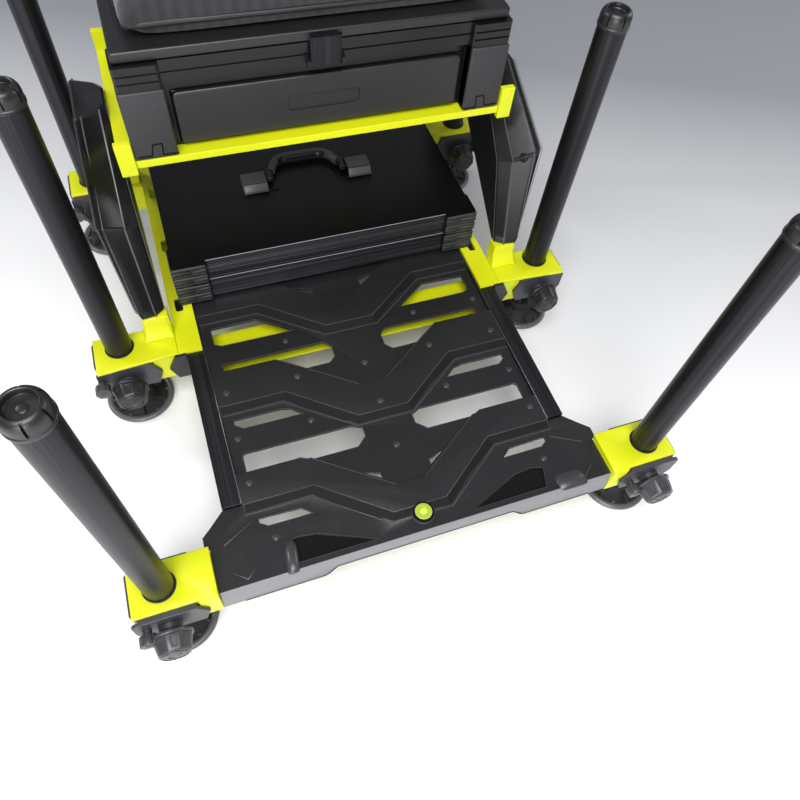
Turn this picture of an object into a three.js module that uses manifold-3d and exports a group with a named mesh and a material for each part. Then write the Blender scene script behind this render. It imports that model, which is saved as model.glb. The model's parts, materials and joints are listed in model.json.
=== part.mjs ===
// Match fishing seat box: a painted chassis on six adjustable legs, with a sliding
// footplate, a carry case on the side rails, and a drawer and seat above.
// Millimetres, +Z up, +X to the sitter's left hand seen from the front, -Y to the water.

import * as THREE from 'three';
import { mergeVertices } from 'three/addons/utils/BufferGeometryUtils.js';
import Module from 'manifold-3d';

const wasm = await Module();
wasm.setup();

// Layout of the six legs and the deck
const legSpan = 653; // between the leg axes, across
const frontPitch = 356; // front to middle legs, footplate drawn out
const rearPitch = 361; // middle to rear legs
const deckHeight = 126; // floor to the top of the corner blocks
const fit = 0.3; // gap between pieces that seat on each other
const overrun = 5; // how far a cutter passes the face it cuts
const edgeBevel = 1.5;
const hingeGap = 0.45;
const pinSides = 8;
const boreSides = 10;
const dishSides = 12;
const roundSides = 24;

// Leg tube, its cap, ball and foot
const tubeRadius = 18;
const tubeWall = 2;
const tubeBottom = 46; // above the floor
const legRise = 400; // leg top above the deck
const capHeight = 20;
const capRadius = 18.4;
const capRim = 5;
const capDish = 5;
const capRound = 4;
const spigotLength = 14;
const capSlitWidth = 2.4;
const capSlitLength = 17;
const capSlits = 3;
const plugLength = 12;
const ballRadius = 13;
const ballHeight = 20; // ball centre above the floor
const neckRadius = 7;
const footRadius = 50;
const footFlare = 1.5;
const footRim = 7;
const footDish = 11;
const socketGap = 0.6;
const socketTop = 30;
const socketRadius = 18;
const socketFoot = 23;
const legSides = 18;
const ballSteps = 2;
const socketSteps = 4;

// Corner blocks and the black clamps round the legs
const blockHalfDepth = 30;
const blockOuter = 34.5; // outboard of the leg axis
const blockPlate = 14;
const blockRound = 7;
const blockShort = 21; // behind the middle legs, where the plate stops
const noseReach = 9; // the middle plates' slanting front edge
const noseReachInner = 2.5;
const noseThick = 2.5;
const blockBevel = 1.5;
const armOuter = 39.5; // inboard of the leg axis
const armFront = 33;
const armSet = 4; // in from the plate's back edge
const armDrop = 50;
const boreGap = 0.35;
const clampShell = 3.3;
const clampRise = 3; // clamp edge below the deck
const clampInner = 36;
const clampChamfer = 9;
const coverThick = 4.7;
const coverReach = 48.5;
const bossRadius = 14;
const bossLength = 6;
const knobDrop = 35; // knob axis below the deck
const knobRadius = 22.5;
const knobScallop = 4.5;
const knobLobes = 5;
const knobLength = 24;
const knobBevel = 2.5;
const knobCollarRadius = 17;
const knobCollar = 4;
const knobDish = 3;
const knobDishRadius = 13;
const stemRadius = 4;
const stemGap = 0.4;

// Lime side rails, with the footplate's runners inside
const blockReach = 76.5; // from a leg's axis to its rail
const railOuter = legSpan / 2 - blockReach;
const railWidth = 33;
const railInner = railOuter - railWidth;
const railFlange = 5;
const railWeb = 5;
const railLip = 4;
const railEnd = 26; // behind the rear leg axes
const windowInset = 9;
const windowLength = 52;
const windowWidth = 11;
const windowCount = 3;
const runnerLead = 2; // the runners show inboard of the rails
const runnerInner = railInner - runnerLead;
const runnerWidth = 25;
const runnerHeight = 28;
const runnerWall = 2.5;
const runnerRear = 95;
const railCapReach = 18;
const railCapGap = 0.45;
const barThick = 12;
const barFront = 33;
const barBack = 16;
const barWall = 2.5;
const frontBarHeight = 19;
const frontBarDepth = 28;
const frontBarTop = 28; // below the deck

// Posts on the blocks that carry the side arches
const postHeight = 38;
const postFront = 6; // behind the middle legs
const postDepth = 20;
const postWidth = 33.4;
const postInner = railOuter + 2 * fit;
const postOuter = postInner + postWidth;
const postFlare = 7;

// Footplate
const plateDrop = 10; // slotted sheet below the deck
const plateSheet = 4;
const plateRear = 100;
const plateSkirt = 30; // skirt and ribs reach this far below the deck
const skirtWidth = 6;
const ribWidth = 5;
const flareLead = 75;
const flareStart = frontPitch - flareLead; // in front of the middle legs
const frontReach = 62.2; // from a front leg's axis to the footplate
const flangeHalf = legSpan / 2 - frontReach - fit;
const flareOver = 6;
const flareHalf = flangeHalf + flareOver;
const flareStep = 12;
const flareMid = flareHalf - flareStep;
const flareRun = 16;
const lipReach = 26;
const lipLean = 6;
const lipTop = frontPitch + lipReach;
const lipFront = lipTop + lipLean;
const lipThick = 5;
const lipDropSide = 45;
const lipDropMiddle = 31;
const notchHalf = 120;
const notchRun = 17;
const bandRise = 5;
const bandPitch = 163;
const bandMiddle = 77; // rear edge of the middle band, in front of the middle legs
const bandShoulder = 122;
const bandRearValley = 20;
const bandValley = 36;
const bandRearDrop = 74;
const bandFrontDrop = 66;
const bandArm = 57;
const bandArmFront = 43;
const bandBevel = 18;
const slotInset = 15; // from the runners to the slots' outer ends
const slotReach = runnerInner - slotInset;
const pocketDepth = 2.5;
const levelRadius = 12;
const levelSet = 4;
const levelPlace = frontPitch + levelSet;
const levelBoss = 3;
const levelHeight = 6;

// Side arches and the upper frame
const archGap = 3;
const archInner = railOuter + archGap;
const archWidth = 46;
const archTop = 262; // above the deck
const frameFront = 61;
const frameTop = 250; // above the deck
const frameThick = 10;
const frameBar = 46;
const lugWidth = 19;
const lugThick = 8;
const lugDrop = 16; // below the frame's top
const lugRise = 27;

// Carry case on the rails
const caseRest = 12; // on each rail
const caseHalf = railInner + caseRest;
const caseFront = 60;
const caseDepth = 292;
const caseHeight = 75;
const caseSplit = 37;
const caseWall = 4;
const caseFloor = 3;
const cornerWidth = 49;
const cornerDepth = 34;
const cornerProud = 3;
const cornerFrontProud = 8;
const cornerRib = 2.2;
const profileGroove = 1.6;
const handleHalf = 62;
const handlePlace = 134;
const handleGap = 1.6; // between a mount and the handle's arm
const handleBar = 10;
const handleReach = 45;
const handleArm = 9;
const handlePinLength = 9;
const handlePin = 3;
const mountInner = 48;
const mountOuter = 100;
const mountDepth = 38;
const mountPlate = 2;
const mountHeight = 14;
const handleLift = 7.4; // the handle's axis above its mounts' plates
const hingePin = 1.6;
const hingeBarrel = 4;
const hingeLength = 32;
const hingeHalf = 130;
const hingeLeaf = 3;

// Drawer unit, tray and seat above the frame
const unitHalf = caseHalf;
const unitFront = 70;
const unitRear = 61; // from the unit's back to the rear legs' axes
const unitSet = 10; // the drawer's face behind the tray above
const unitDepth = rearPitch - unitFront - unitRear;
const unitHeight = 85;
const unitWall = 4;
const drawerFace = 6;
const drawerWall = 3;
const drawerGap = 1;
const drawerSet = 53; // in from each end of the unit
const drawerSide = unitHalf - drawerSet;
const drawerHeight = 66;
const pullWidth = 90;
const pullHeight = 20;
const pullDepth = 3;
const trayHeight = 27;
const seatBoard = 12;
const cushionHeight = 44;
const cushionInset = 3;
const cushionSeam = 15;
const cushionChannels = 2;
const channelWidth = 9;
const channelDepth = 6;
const cushionWaist = 5;
const cushionRows = 12;
const cushionColumns = 24;
const latchHalf = 18;
const latchThick = 4;
const latchPin = 2;
const latchEar = 4;
const latchLip = 3;
const latchNose = 4;

// Paints and finishes
const lime = new THREE.MeshStandardMaterial({ color: 0xd9ea1a, roughness: 0.45, metalness: 0.1 });
const mouldedBlack = new THREE.MeshStandardMaterial({ color: 0x2d2d2f, roughness: 0.6, metalness: 0 });
const anodised = new THREE.MeshStandardMaterial({ color: 0x343438, roughness: 0.35, metalness: 0.8 });
const rubber = new THREE.MeshStandardMaterial({ color: 0x1d1d1e, roughness: 0.85, metalness: 0 });
const panelBlack = new THREE.MeshStandardMaterial({ color: 0x17181b, roughness: 0.5, metalness: 0.2 });
const fabric = new THREE.MeshStandardMaterial({ color: 0x202022, roughness: 0.95, metalness: 0 });
const vial = new THREE.MeshStandardMaterial({ color: 0xd2e58a, roughness: 0.2, metalness: 0 });

// Solids and geometries

// Turns a closed geometry into a solid, leaving out the slivers of a revolve's axis
function solid(geometry) {
  const plain = geometry.clone();
  plain.deleteAttribute('normal');
  plain.deleteAttribute('uv');
  const merged = mergeVertices(plain);
  const index = merged.index.array;
  const kept = [];
  for (let i = 0; i < index.length; i += 3) {
    const [a, b, c] = [index[i], index[i + 1], index[i + 2]];
    if (a !== b && b !== c && c !== a) kept.push(a, b, c);
  }
  return new wasm.Manifold(new wasm.Mesh({
    numProp: 3,
    vertProperties: new Float32Array(merged.attributes.position.array),
    triVerts: new Uint32Array(kept),
  }));
}

function geometryOf(body) {
  const mesh = body.getMesh();
  const geometry = new THREE.BufferGeometry();
  geometry.setAttribute('position', new THREE.BufferAttribute(new Float32Array(mesh.vertProperties), 3));
  geometry.setIndex(new THREE.BufferAttribute(new Uint32Array(mesh.triVerts), 1));
  geometry.computeVertexNormals();
  return geometry;
}

function join(first, ...rest) {
  return rest.reduce((sum, next) => sum.add(next), first);
}

function cut(first, ...rest) {
  return rest.reduce((left, next) => left.subtract(next), first);
}

// The mirror image of a geometry across the centre plane
function mirrored(geometry) {
  const copy = geometry.clone();
  copy.scale(-1, 1, 1);
  const index = copy.index.array;
  for (let i = 0; i < index.length; i += 3) {
    [index[i + 1], index[i + 2]] = [index[i + 2], index[i + 1]];
  }
  copy.computeVertexNormals();
  return copy;
}

function box(x0, x1, y0, y1, z0, z1) {
  const geometry = new THREE.BoxGeometry(x1 - x0, y1 - y0, z1 - z0);
  geometry.translate((x0 + x1) / 2, (y0 + y1) / 2, (z0 + z1) / 2);
  return solid(geometry);
}

// A closed outline, with its corners rounded by radius where it is given
function outline(points, radius = 0) {
  const shape = new THREE.Shape();
  const count = points.length;
  const corner = (i) => new THREE.Vector2(...points[(i + count) % count]);
  points.forEach((point, i) => {
    const here = corner(i);
    if (!radius) {
      if (i) shape.lineTo(here.x, here.y);
      else shape.moveTo(here.x, here.y);
      return;
    }
    const before = corner(i - 1).sub(here);
    const after = corner(i + 1).sub(here);
    const start = here.clone().add(before.setLength(Math.min(radius, before.length() / 2)));
    const end = here.clone().add(after.setLength(Math.min(radius, after.length() / 2)));
    if (i) shape.lineTo(start.x, start.y);
    else shape.moveTo(start.x, start.y);
    shape.quadraticCurveTo(here.x, here.y, end.x, end.y);
  });
  shape.closePath();
  return shape;
}

const planes = {
  x: [new THREE.Vector3(0, 1, 0), new THREE.Vector3(0, 0, 1), new THREE.Vector3(1, 0, 0)],
  y: [new THREE.Vector3(1, 0, 0), new THREE.Vector3(0, 0, 1), new THREE.Vector3(0, -1, 0)],
  z: [new THREE.Vector3(1, 0, 0), new THREE.Vector3(0, 1, 0), new THREE.Vector3(0, 0, 1)],
};

// An outline drawn across an axis and extruded along it, from low to high
function prism(shape, axis, low, high, bevel = 0, curve = 2) {
  const geometry = new THREE.ExtrudeGeometry(shape, {
    depth: high - low - 2 * bevel,
    bevelEnabled: bevel > 0,
    bevelThickness: bevel,
    bevelSize: bevel,
    bevelOffset: -bevel,
    bevelSegments: 1,
    curveSegments: curve,
  });
  geometry.translate(0, 0, bevel);
  geometry.applyMatrix4(new THREE.Matrix4().makeBasis(...planes[axis]));
  const start = axis === 'y' ? high : low;
  geometry.translate(axis === 'x' ? start : 0, axis === 'y' ? start : 0, axis === 'z' ? start : 0);
  return solid(geometry);
}

function rectangle(x0, x1, y0, y1) {
  return [[x0, y0], [x1, y0], [x1, y1], [x0, y1]];
}

const ordered = (a, b) => [Math.min(a, b), Math.max(a, b)];

// A round bar along an axis, centred on the other two coordinates
function bar(axis, radius, low, high, place, sides = 16) {
  const geometry = new THREE.CylinderGeometry(radius, radius, high - low, sides);
  const middle = (low + high) / 2;
  if (axis === 'z') {
    geometry.rotateX(Math.PI / 2);
    geometry.translate(place[0], place[1], middle);
  } else if (axis === 'x') {
    geometry.rotateZ(Math.PI / 2);
    geometry.translate(middle, place[0], place[1]);
  } else {
    geometry.translate(place[0], middle, place[1]);
  }
  return solid(geometry);
}

function revolve(profile, sides) {
  const geometry = new THREE.LatheGeometry(profile.map((p) => new THREE.Vector2(...p)), sides);
  geometry.rotateX(Math.PI / 2);
  return solid(geometry);
}

// A solid that passes through outlines with the same number of points, level but for their rises
function loft(sections) {
  const count = sections[0].points.length;
  const positions = sections.flatMap(({ points, z }) => points.flatMap(
    ([x, y, rise = 0]) => [x, y, z + rise],
  ));
  const index = [];
  for (let level = 0; level < sections.length - 1; level += 1) {
    for (let i = 0; i < count; i += 1) {
      const a = level * count + i;
      const b = level * count + ((i + 1) % count);
      index.push(a, b, a + count, b, b + count, a + count);
    }
  }
  const cap = (level, flip) => {
    const flat = sections[level].points.map((p) => new THREE.Vector2(...p));
    THREE.ShapeUtils.triangulateShape(flat, []).forEach(([a, b, c]) => {
      const face = flip ? [c, b, a] : [a, b, c];
      index.push(...face.map((i) => i + level * count));
    });
  };
  cap(0, true);
  cap(sections.length - 1, false);
  const geometry = new THREE.BufferGeometry();
  geometry.setAttribute('position', new THREE.Float32BufferAttribute(positions, 3));
  geometry.setIndex(index);
  return solid(geometry);
}

const model = new THREE.Group();

function add(name, body, material, parent = model) {
  const mesh = new THREE.Mesh(body.isBufferGeometry ? body : geometryOf(body), material);
  mesh.name = name;
  parent.add(mesh);
  return mesh;
}

// A right-hand piece and its mirror image on the left
function addPair(name, body, material, parent = model) {
  const geometry = geometryOf(body);
  add(`${name}_right`, geometry, material, parent);
  add(`${name}_left`, mirrored(geometry), material, parent);
}

// Legs, made about their own axis with the floor at zero

function legTube() {
  const bottom = ballHeight;
  const neck = Math.acos(neckRadius / ballRadius);
  const profile = [[0, bottom - ballRadius]];
  for (let i = 1; i <= ballSteps; i += 1) {
    const angle = -Math.PI / 2 + (i * (neck + Math.PI / 2)) / ballSteps;
    profile.push([ballRadius * Math.cos(angle), bottom + ballRadius * Math.sin(angle)]);
  }
  const top = deckHeight + legRise - capHeight;
  profile.push([neckRadius, tubeBottom], [tubeRadius, tubeBottom], [tubeRadius, top]);
  profile.push([tubeRadius - tubeWall, top], [tubeRadius - tubeWall, tubeBottom + plugLength]);
  profile.push([0, tubeBottom + plugLength]);
  return revolve(profile, legSides);
}

function legCap() {
  const top = deckHeight + legRise;
  const seat = top - capHeight + fit;
  const spigot = tubeRadius - tubeWall - fit;
  const body = revolve([
    [0, seat - spigotLength],
    [spigot, seat - spigotLength],
    [spigot, seat],
    [capRadius, seat],
    [capRadius, top - capRound],
    [capRadius - capRound / 2, top],
    [capRadius - capRim, top],
    [capRadius - capRim, top - capDish],
    [0, top - capDish],
  ], legSides);
  const slits = [];
  for (let i = 0; i < capSlits; i += 1) {
    const slit = new THREE.BoxGeometry(capRim, capSlitWidth, capSlitLength);
    slit.translate(capRadius, 0, top - capSlitLength / 2 + capDish / 2);
    slit.rotateZ(((i + 0.5) * 2 * Math.PI) / capSlits);
    slits.push(solid(slit));
  }
  return cut(body, ...slits);
}

function foot() {
  const cup = ballRadius + socketGap;
  const mouth = ballHeight + cup * Math.SQRT1_2;
  const profile = [
    [0, 0],
    [footRadius - footFlare, 0],
    [footRadius, footRim / 2],
    [footRadius - footFlare, footRim],
    [socketFoot, footDish],
    [socketRadius, socketTop - footFlare],
    [socketRadius - footFlare, Math.max(socketTop, mouth)],
    [cup * Math.SQRT1_2, mouth],
  ];
  for (let i = 1; i <= socketSteps; i += 1) {
    const angle = Math.PI / 4 - (i * (Math.PI / 4 + Math.PI / 2)) / socketSteps;
    profile.push([cup * Math.cos(angle), ballHeight + cup * Math.sin(angle)]);
  }
  profile[profile.length - 1][0] = 0;
  return revolve(profile, legSides);
}

// Corner block about the leg axis, for the right-hand side
function cornerBlock({ armInner, back, nose, post }) {
  const top = deckHeight;
  const inner = armInner - legSpan / 2;
  const plate = prism(
    outline(rectangle(inner, blockOuter, -blockHalfDepth, back), blockRound),
    'z', top - blockPlate, top, blockBevel,
  );
  const armBack = back - armSet;
  const arm = box(inner, -armOuter, -armFront, armBack, top - armDrop, top - blockPlate + overrun);
  const corner = box(inner, -armOuter, -armFront, back - blockRound, top - armDrop, top - blockBevel);
  const bore = bar('z', tubeRadius + boreGap, top - armDrop, top + overrun, [0, 0], legSides);
  const parts = [plate, arm, corner];
  if (nose) {
    const seat = blockBevel - blockHalfDepth;
    parts.push(prism(outline([
      [inner, seat], [inner, -blockHalfDepth - noseReachInner], [blockOuter, -blockHalfDepth - noseReach],
      [blockOuter, seat - blockRound],
    ]), 'z', top - noseThick, top));
  }
  if (post) {
    const x0 = postInner - legSpan / 2;
    const x1 = postOuter - legSpan / 2;
    const flat = (flare, reach) => rectangle(
      x0, x1 + flare / 2, ...ordered(post * (postFront - flare), post * reach),
    );
    const reach = postFront + postDepth;
    const seat = Math.min(reach, back);
    parts.push(loft([
      { points: flat(postFlare, seat), z: top - blockPlate },
      { points: flat(postFlare, seat), z: top },
      { points: flat(postFlare / 3, (seat + reach) / 2), z: top + postHeight / 4 },
      { points: flat(0, reach), z: top + postHeight / 2 },
      { points: flat(0, reach), z: top + postHeight },
    ]));
  }
  return cut(join(...parts), bore);
}

// Black clamp round the leg: a shell under the block's top, with a front cover and boss
function legClamp(back) {
  const top = deckHeight - clampRise;
  const bottom = deckHeight - armDrop;
  const side = blockOuter + clampShell;
  const front = -blockHalfDepth - clampShell;
  const end = back + clampShell;
  const c = clampChamfer;
  const shell = prism(outline([
    [-clampInner, front], [side - c, front], [side, c + front],
    [side, end - c], [side - c, end], [-clampInner, end],
  ]), 'z', bottom, top);
  const axis = deckHeight - knobDrop;
  const cover = prism(outline([
    [-clampInner, top], [-coverReach, axis + c], [-clampInner - c / 2, bottom],
    [side - c, bottom], [side, axis], [side, top - c / 2], [side - c / 2, top],
  ]), 'y', -armFront - fit - coverThick, -armFront - fit);
  const boss = bar('y', bossRadius, -armFront - coverThick - bossLength, -armFront, [0, axis]);
  const plate = prism(
    outline(rectangle(-armOuter - overrun, blockOuter + fit, -blockHalfDepth - fit, back + fit), blockRound),
    'z', deckHeight - blockPlate - fit, deckHeight + overrun,
  );
  const bore = bar('z', tubeRadius + boreGap, bottom - overrun, top + overrun, [0, 0], legSides);
  const reach = coverThick + 2 * bossLength - front;
  const stem = bar('y', stemRadius + stemGap, -reach, 0, [0, axis], dishSides);
  return cut(join(shell, cover, boss), plate, bore, stem);
}

// Lobed clamp knob with its threaded stem, along -Y
function clampKnob() {
  const z = deckHeight - knobDrop;
  const seat = -armFront - coverThick - bossLength - fit;
  const steps = 4 * knobLobes;
  const rim = [];
  for (let i = 0; i < steps; i += 1) {
    const angle = (i * 2 * Math.PI) / steps;
    const radius = knobRadius - (knobScallop * (1 - Math.cos(knobLobes * angle))) / 2;
    rim.push([radius * Math.cos(angle), z + radius * Math.sin(angle)]);
  }
  const face = seat - knobCollar - knobLength;
  const head = prism(outline(rim), 'y', face, seat - knobCollar, knobBevel);
  const collar = bar('y', knobCollarRadius, seat - knobCollar - overrun, seat, [0, z], dishSides);
  const stem = bar('y', stemRadius, seat - overrun, -tubeRadius - fit, [0, z], pinSides);
  const dish = bar('y', knobDishRadius, face - overrun, face + knobDish, [0, z], dishSides);
  return cut(join(head, collar, stem), dish);
}

const rows = {
  front: { y: -frontPitch, armInner: flangeHalf + fit, back: blockHalfDepth, nose: 0, post: 0 },
  mid: { y: 0, armInner: railOuter + fit, back: blockShort, nose: 1, post: 1 },
  rear: { y: rearPitch, armInner: railOuter + fit, back: blockHalfDepth, nose: 0, post: -1 },
};
const legPieces = {
  leg: [geometryOf(legTube()), anodised],
  leg_cap: [geometryOf(legCap()), mouldedBlack],
  foot: [geometryOf(foot()), rubber],
  clamp_knob: [geometryOf(clampKnob()), mouldedBlack],
};
Object.entries(rows).forEach(([row, plan]) => {
  const block = geometryOf(cornerBlock(plan));
  const clamp = geometryOf(legClamp(plan.back));
  [['right', 1], ['left', -1]].forEach(([side, sign]) => {
    const corner = new THREE.Group();
    corner.position.set((sign * legSpan) / 2, plan.y, 0);
    model.add(corner);
    const handed = (geometry) => (sign > 0 ? geometry : mirrored(geometry));
    add(`${row}_block_${side}`, handed(block), lime, corner);
    add(`${row}_leg_clamp_${side}`, handed(clamp), mouldedBlack, corner);
    Object.entries(legPieces).forEach(([piece, [geometry, material]]) => {
      add(`${row}_${piece}_${side}`, handed(geometry), material, corner);
    });
  });
});

// Chassis bars and side rails

const runnerTop = deckHeight - railFlange - fit;
const runnerBottom = runnerTop - runnerHeight;
const railBottom = runnerBottom - fit - railLip;
const barTop = railBottom - fit;

// A flat hollow bar across the chassis, open at its ends
function crossbar(half, front, back, top, height) {
  const tube = outline(rectangle(front, back, top - height, top));
  tube.holes.push(outline(rectangle(
    front + barWall, back - barWall, top - height + barWall, top - barWall,
  )));
  return prism(tube, 'x', -half, half);
}

function sideRail() {
  const top = deckHeight;
  const front = -armFront;
  const back = rearPitch + railEnd;
  const channel = prism(outline([
    [railInner, top - railFlange], [railInner, top], [railOuter, top], [railOuter, railBottom],
    [railInner, railBottom], [railInner, railBottom + railLip],
    [railOuter - railWeb, railBottom + railLip], [railOuter - railWeb, top - railFlange],
  ]), 'y', front, back);
  const windows = [];
  const clear = blockHalfDepth + windowLength / 2;
  const step = (rearPitch - 2 * clear) / (windowCount - 1);
  for (let i = 0; i < windowCount; i += 1) {
    const middle = clear + i * step;
    const x = railOuter - windowInset;
    const half = windowLength / 4;
    windows.push(prism(
      outline(rectangle(x - windowWidth, x, middle - half, middle + half), windowWidth / 3),
      'z', top - railFlange - overrun / 2, top + overrun,
    ));
  }
  return cut(channel, ...windows);
}

// Black end cap on the front of the rail, beside the runner
function railCap() {
  const top = deckHeight - clampRise / 2;
  const bottom = deckHeight - armDrop;
  const inner = runnerInner + runnerWidth + railCapGap;
  const waist = deckHeight - knobDrop + clampChamfer;
  return prism(outline([
    [inner, bottom], [railOuter + railCapReach / 2, bottom], [railOuter + railCapReach, waist],
    [railOuter + railCapReach / 3, top], [inner, top],
  ]), 'y', -armFront - fit - coverThick, -armFront - fit);
}

addPair('side_rail', sideRail(), lime);
addPair('rail_cap', railCap(), mouldedBlack);
add('mid_crossbar', crossbar(railOuter, -barFront, barBack, barTop, barThick), lime);
add('rear_crossbar', crossbar(railOuter, rearPitch - barBack, rearPitch + railEnd, barTop, barThick), lime);
const frontBarFront = -lipTop + lipThick / 2;
const frontBarBack = frontBarFront + frontBarDepth;
add('front_crossbar', crossbar(
  flangeHalf, frontBarFront, frontBarBack, deckHeight - frontBarTop, frontBarHeight,
), lime);

// Footplate with its runners

function runner() {
  const outer = runnerInner + runnerWidth;
  const wall = runnerWall;
  const tube = outline(rectangle(runnerInner, outer, runnerBottom, runnerTop));
  tube.holes.push(outline(rectangle(
    runnerInner + wall, outer - wall, runnerBottom + wall, runnerTop - wall,
  )));
  return prism(tube, 'y', -flareStart, runnerRear);
}

const both = (points) => [...points, ...points.map(([x, y]) => [-x, y]).reverse()];

// One raised chevron band, sloping down at its front to the slotted sheet
function chevron(rear, arm, inner) {
  const sheet = deckHeight - plateDrop;
  const lowRear = bandBevel / 6;
  const flat = (rise, run) => {
    const front = rear - arm - run;
    const valley = bandValley + run / 3;
    const shoulder = bandShoulder + run / 2;
    return [
      ...both([
        [inner, rear + rise], [bandShoulder, rear + rise], [bandRearValley, rear - bandRearDrop + rise],
      ]),
      [-inner, front], [-shoulder, front], [-valley, front - bandFrontDrop],
      [valley, front - bandFrontDrop], [shoulder, front], [inner, front],
    ];
  };
  return loft([
    { points: flat(0, 0), z: sheet + bandRise },
    { points: flat(lowRear, bandBevel), z: sheet - plateSheet / 2 },
  ].reverse());
}

// Slots as shares of their reach across and of the band pitch, from the middle legs forward
const slotShares = [
  [[1, 0.03], [0.67, 0.04], [0.41, -0.18], [0.95, -0.18], [1, -0.15]],
  [
    [0.98, -0.38], [0.24, -0.38], [0.19, -0.44], [0.19, -0.56], [0.24, -0.62], [0.44, -0.62],
    [0.62, -0.47], [0.98, -0.47],
  ],
  [[1, -0.96], [0.68, -0.96], [0.61, -0.98], [0.53, -1.06], [0.95, -1.06], [1, -1.01]],
  [
    [1, -1.31], [0.98, -1.29], [0.25, -1.29], [0.18, -1.33], [0.18, -1.42], [0.25, -1.5],
    [0.6, -1.5], [0.67, -1.46], [1, -1.46],
  ],
  [[1, -1.87], [0.73, -1.88], [0.66, -1.95], [0.95, -1.95], [1, -1.91]],
  [[0.3, -1.72], [0.17, -1.78], [0.17, -1.83]],
  [[0.35, 0.32], [0.19, 0.25], [0.19, 0.17]],
];
const pocketShares = [[0.89, -2.13], [0.8, -2.1], [0.67, -2.12], [0.32, -2.3], [0.85, -2.3]];
const ribShares = [0.53, -0.28, -0.72, -1.14, -1.57];

function footplate() {
  const sheet = deckHeight - plateDrop;
  const low = deckHeight - plateSkirt;
  const pad = deckHeight - frontBarTop + fit;
  const inner = runnerInner - fit;
  const blockBack = blockHalfDepth - frontPitch;
  const plan = both([
    [inner, plateRear], [inner, -flareStart - fit], [runnerInner + runnerWidth, -flareStart - fit],
    [flareMid, -flareStart - bandBevel], [flareHalf, blockBack + flareRun],
    [flareHalf, blockBack + 2 * fit], [flangeHalf, blockBack + 2 * fit], [flangeHalf, -lipTop],
  ]);
  const parts = [prism(outline(plan), 'z', sheet - plateSheet, sheet)];
  const bands = [
    [bandPitch - bandMiddle, bandArm], [-bandMiddle, bandArm], [-bandMiddle - bandPitch, bandArmFront],
  ];
  bands.forEach(([rear, arm]) => parts.push(chevron(rear, arm, inner)));
  const core = sheet - plateSheet / 2;
  const half = skirtWidth / 2;
  [-1, 1].forEach((side) => {
    const x = side * (inner - half);
    parts.push(box(x - half, x + half, -flareStart, plateRear, low, core));
    const wide = side * (flangeHalf - half);
    parts.push(box(wide - half, wide + half, -lipTop, blockBack, pad, core));
  });
  ribShares.forEach((share) => {
    const y = share * bandPitch;
    parts.push(box(-inner, inner, y - ribWidth / 2, y + ribWidth / 2, low, core));
  });
  [-1, 0, 1].forEach((place) => {
    const x = place * bandShoulder;
    parts.push(box(x - bandBevel, x + bandBevel, frontBarFront, frontBarBack, pad, core));
  });
  const slots = [];
  slotShares.forEach((shares) => {
    [1, -1].forEach((side) => slots.push(prism(
      outline(shares.map(([x, y]) => [side * x * slotReach, y * bandPitch])),
      'z', low - overrun, deckHeight + overrun,
    )));
  });
  const pockets = [1, -1].map((side) => prism(
    outline(pocketShares.map(([x, y]) => [side * x * slotReach, y * bandPitch])),
    'z', sheet - pocketDepth, deckHeight + overrun,
  ));
  const lip = prism(outline([
    [-lipTop + lipThick, sheet - plateSheet], [-lipTop, sheet], [-lipFront, deckHeight - lipDropSide],
    [-lipFront + lipThick, deckHeight - lipDropSide],
  ]), 'x', -flangeHalf, flangeHalf);
  const notch = prism(outline(both([
    [notchHalf, deckHeight - lipDropMiddle], [notchHalf + notchRun, deckHeight - lipDropSide - overrun],
  ])), 'y', -lipFront - overrun, -lipTop + overrun);
  const place = [0, -levelPlace];
  const boss = bar('z', levelRadius + levelBoss, sheet - plateSheet, sheet + levelBoss, place, roundSides);
  const seat = bar('z', levelRadius + fit, sheet - fit, deckHeight, place, roundSides);
  return cut(join(...parts, boss, cut(lip, notch)), ...slots, ...pockets, seat);
}

addPair('runner', runner(), anodised);
add('footplate', footplate(), mouldedBlack);
add('spirit_level', bar(
  'z', levelRadius, deckHeight - plateDrop, deckHeight - plateDrop + levelHeight,
  [0, -levelPlace], roundSides,
), vial);

// Side arches and upper frame

// Level by level up the arch's front leg, the corners of its section from the inner back round
// to the outer back: shares of its width, of half the side's length and of its height
const archShares = [
  [[0, 0.15, 0], [0, 0.09, 0], [0.28, 0.04, 0], [0.67, 0.03, 0], [0.73, 0.07, 0], [0.73, 0.15, 0]],
  [
    [0, 0.24, 0.19], [0, 0.12, 0.19], [0.3, 0.06, 0.19], [0.72, 0.03, 0.19], [0.83, 0.08, 0.19],
    [0.83, 0.24, 0.19],
  ],
  [
    [0, 1.02, 0.59], [0, 0.34, 0.61], [0.37, 0.25, 0.64], [0.87, 0.17, 0.71], [1, 0.14, 0.75],
    [1, 1.02, 0.59],
  ],
  [[0, 1.02, 1], [0, 0.9, 1], [0.2, 0.84, 1], [0.67, 0.79, 1], [0.85, 0.78, 1], [0.85, 1.02, 1]],
];

function archLeg() {
  const foot = postHeight + fit;
  const place = ([across, back, up]) => [
    archInner + across * archWidth, (back * rearPitch) / 2, Math.max(up * archTop, foot),
  ];
  return loft(archShares.map((shares) => ({ points: shares.map(place), z: deckHeight })));
}

function sideArch() {
  const leg = geometryOf(archLeg());
  const rear = leg.clone();
  rear.scale(1, -1, 1);
  const index = rear.index.array;
  for (let i = 0; i < index.length; i += 3) [index[i + 1], index[i + 2]] = [index[i + 2], index[i + 1]];
  rear.translate(0, rearPitch, 0);
  return join(solid(leg), solid(rear));
}

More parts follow.
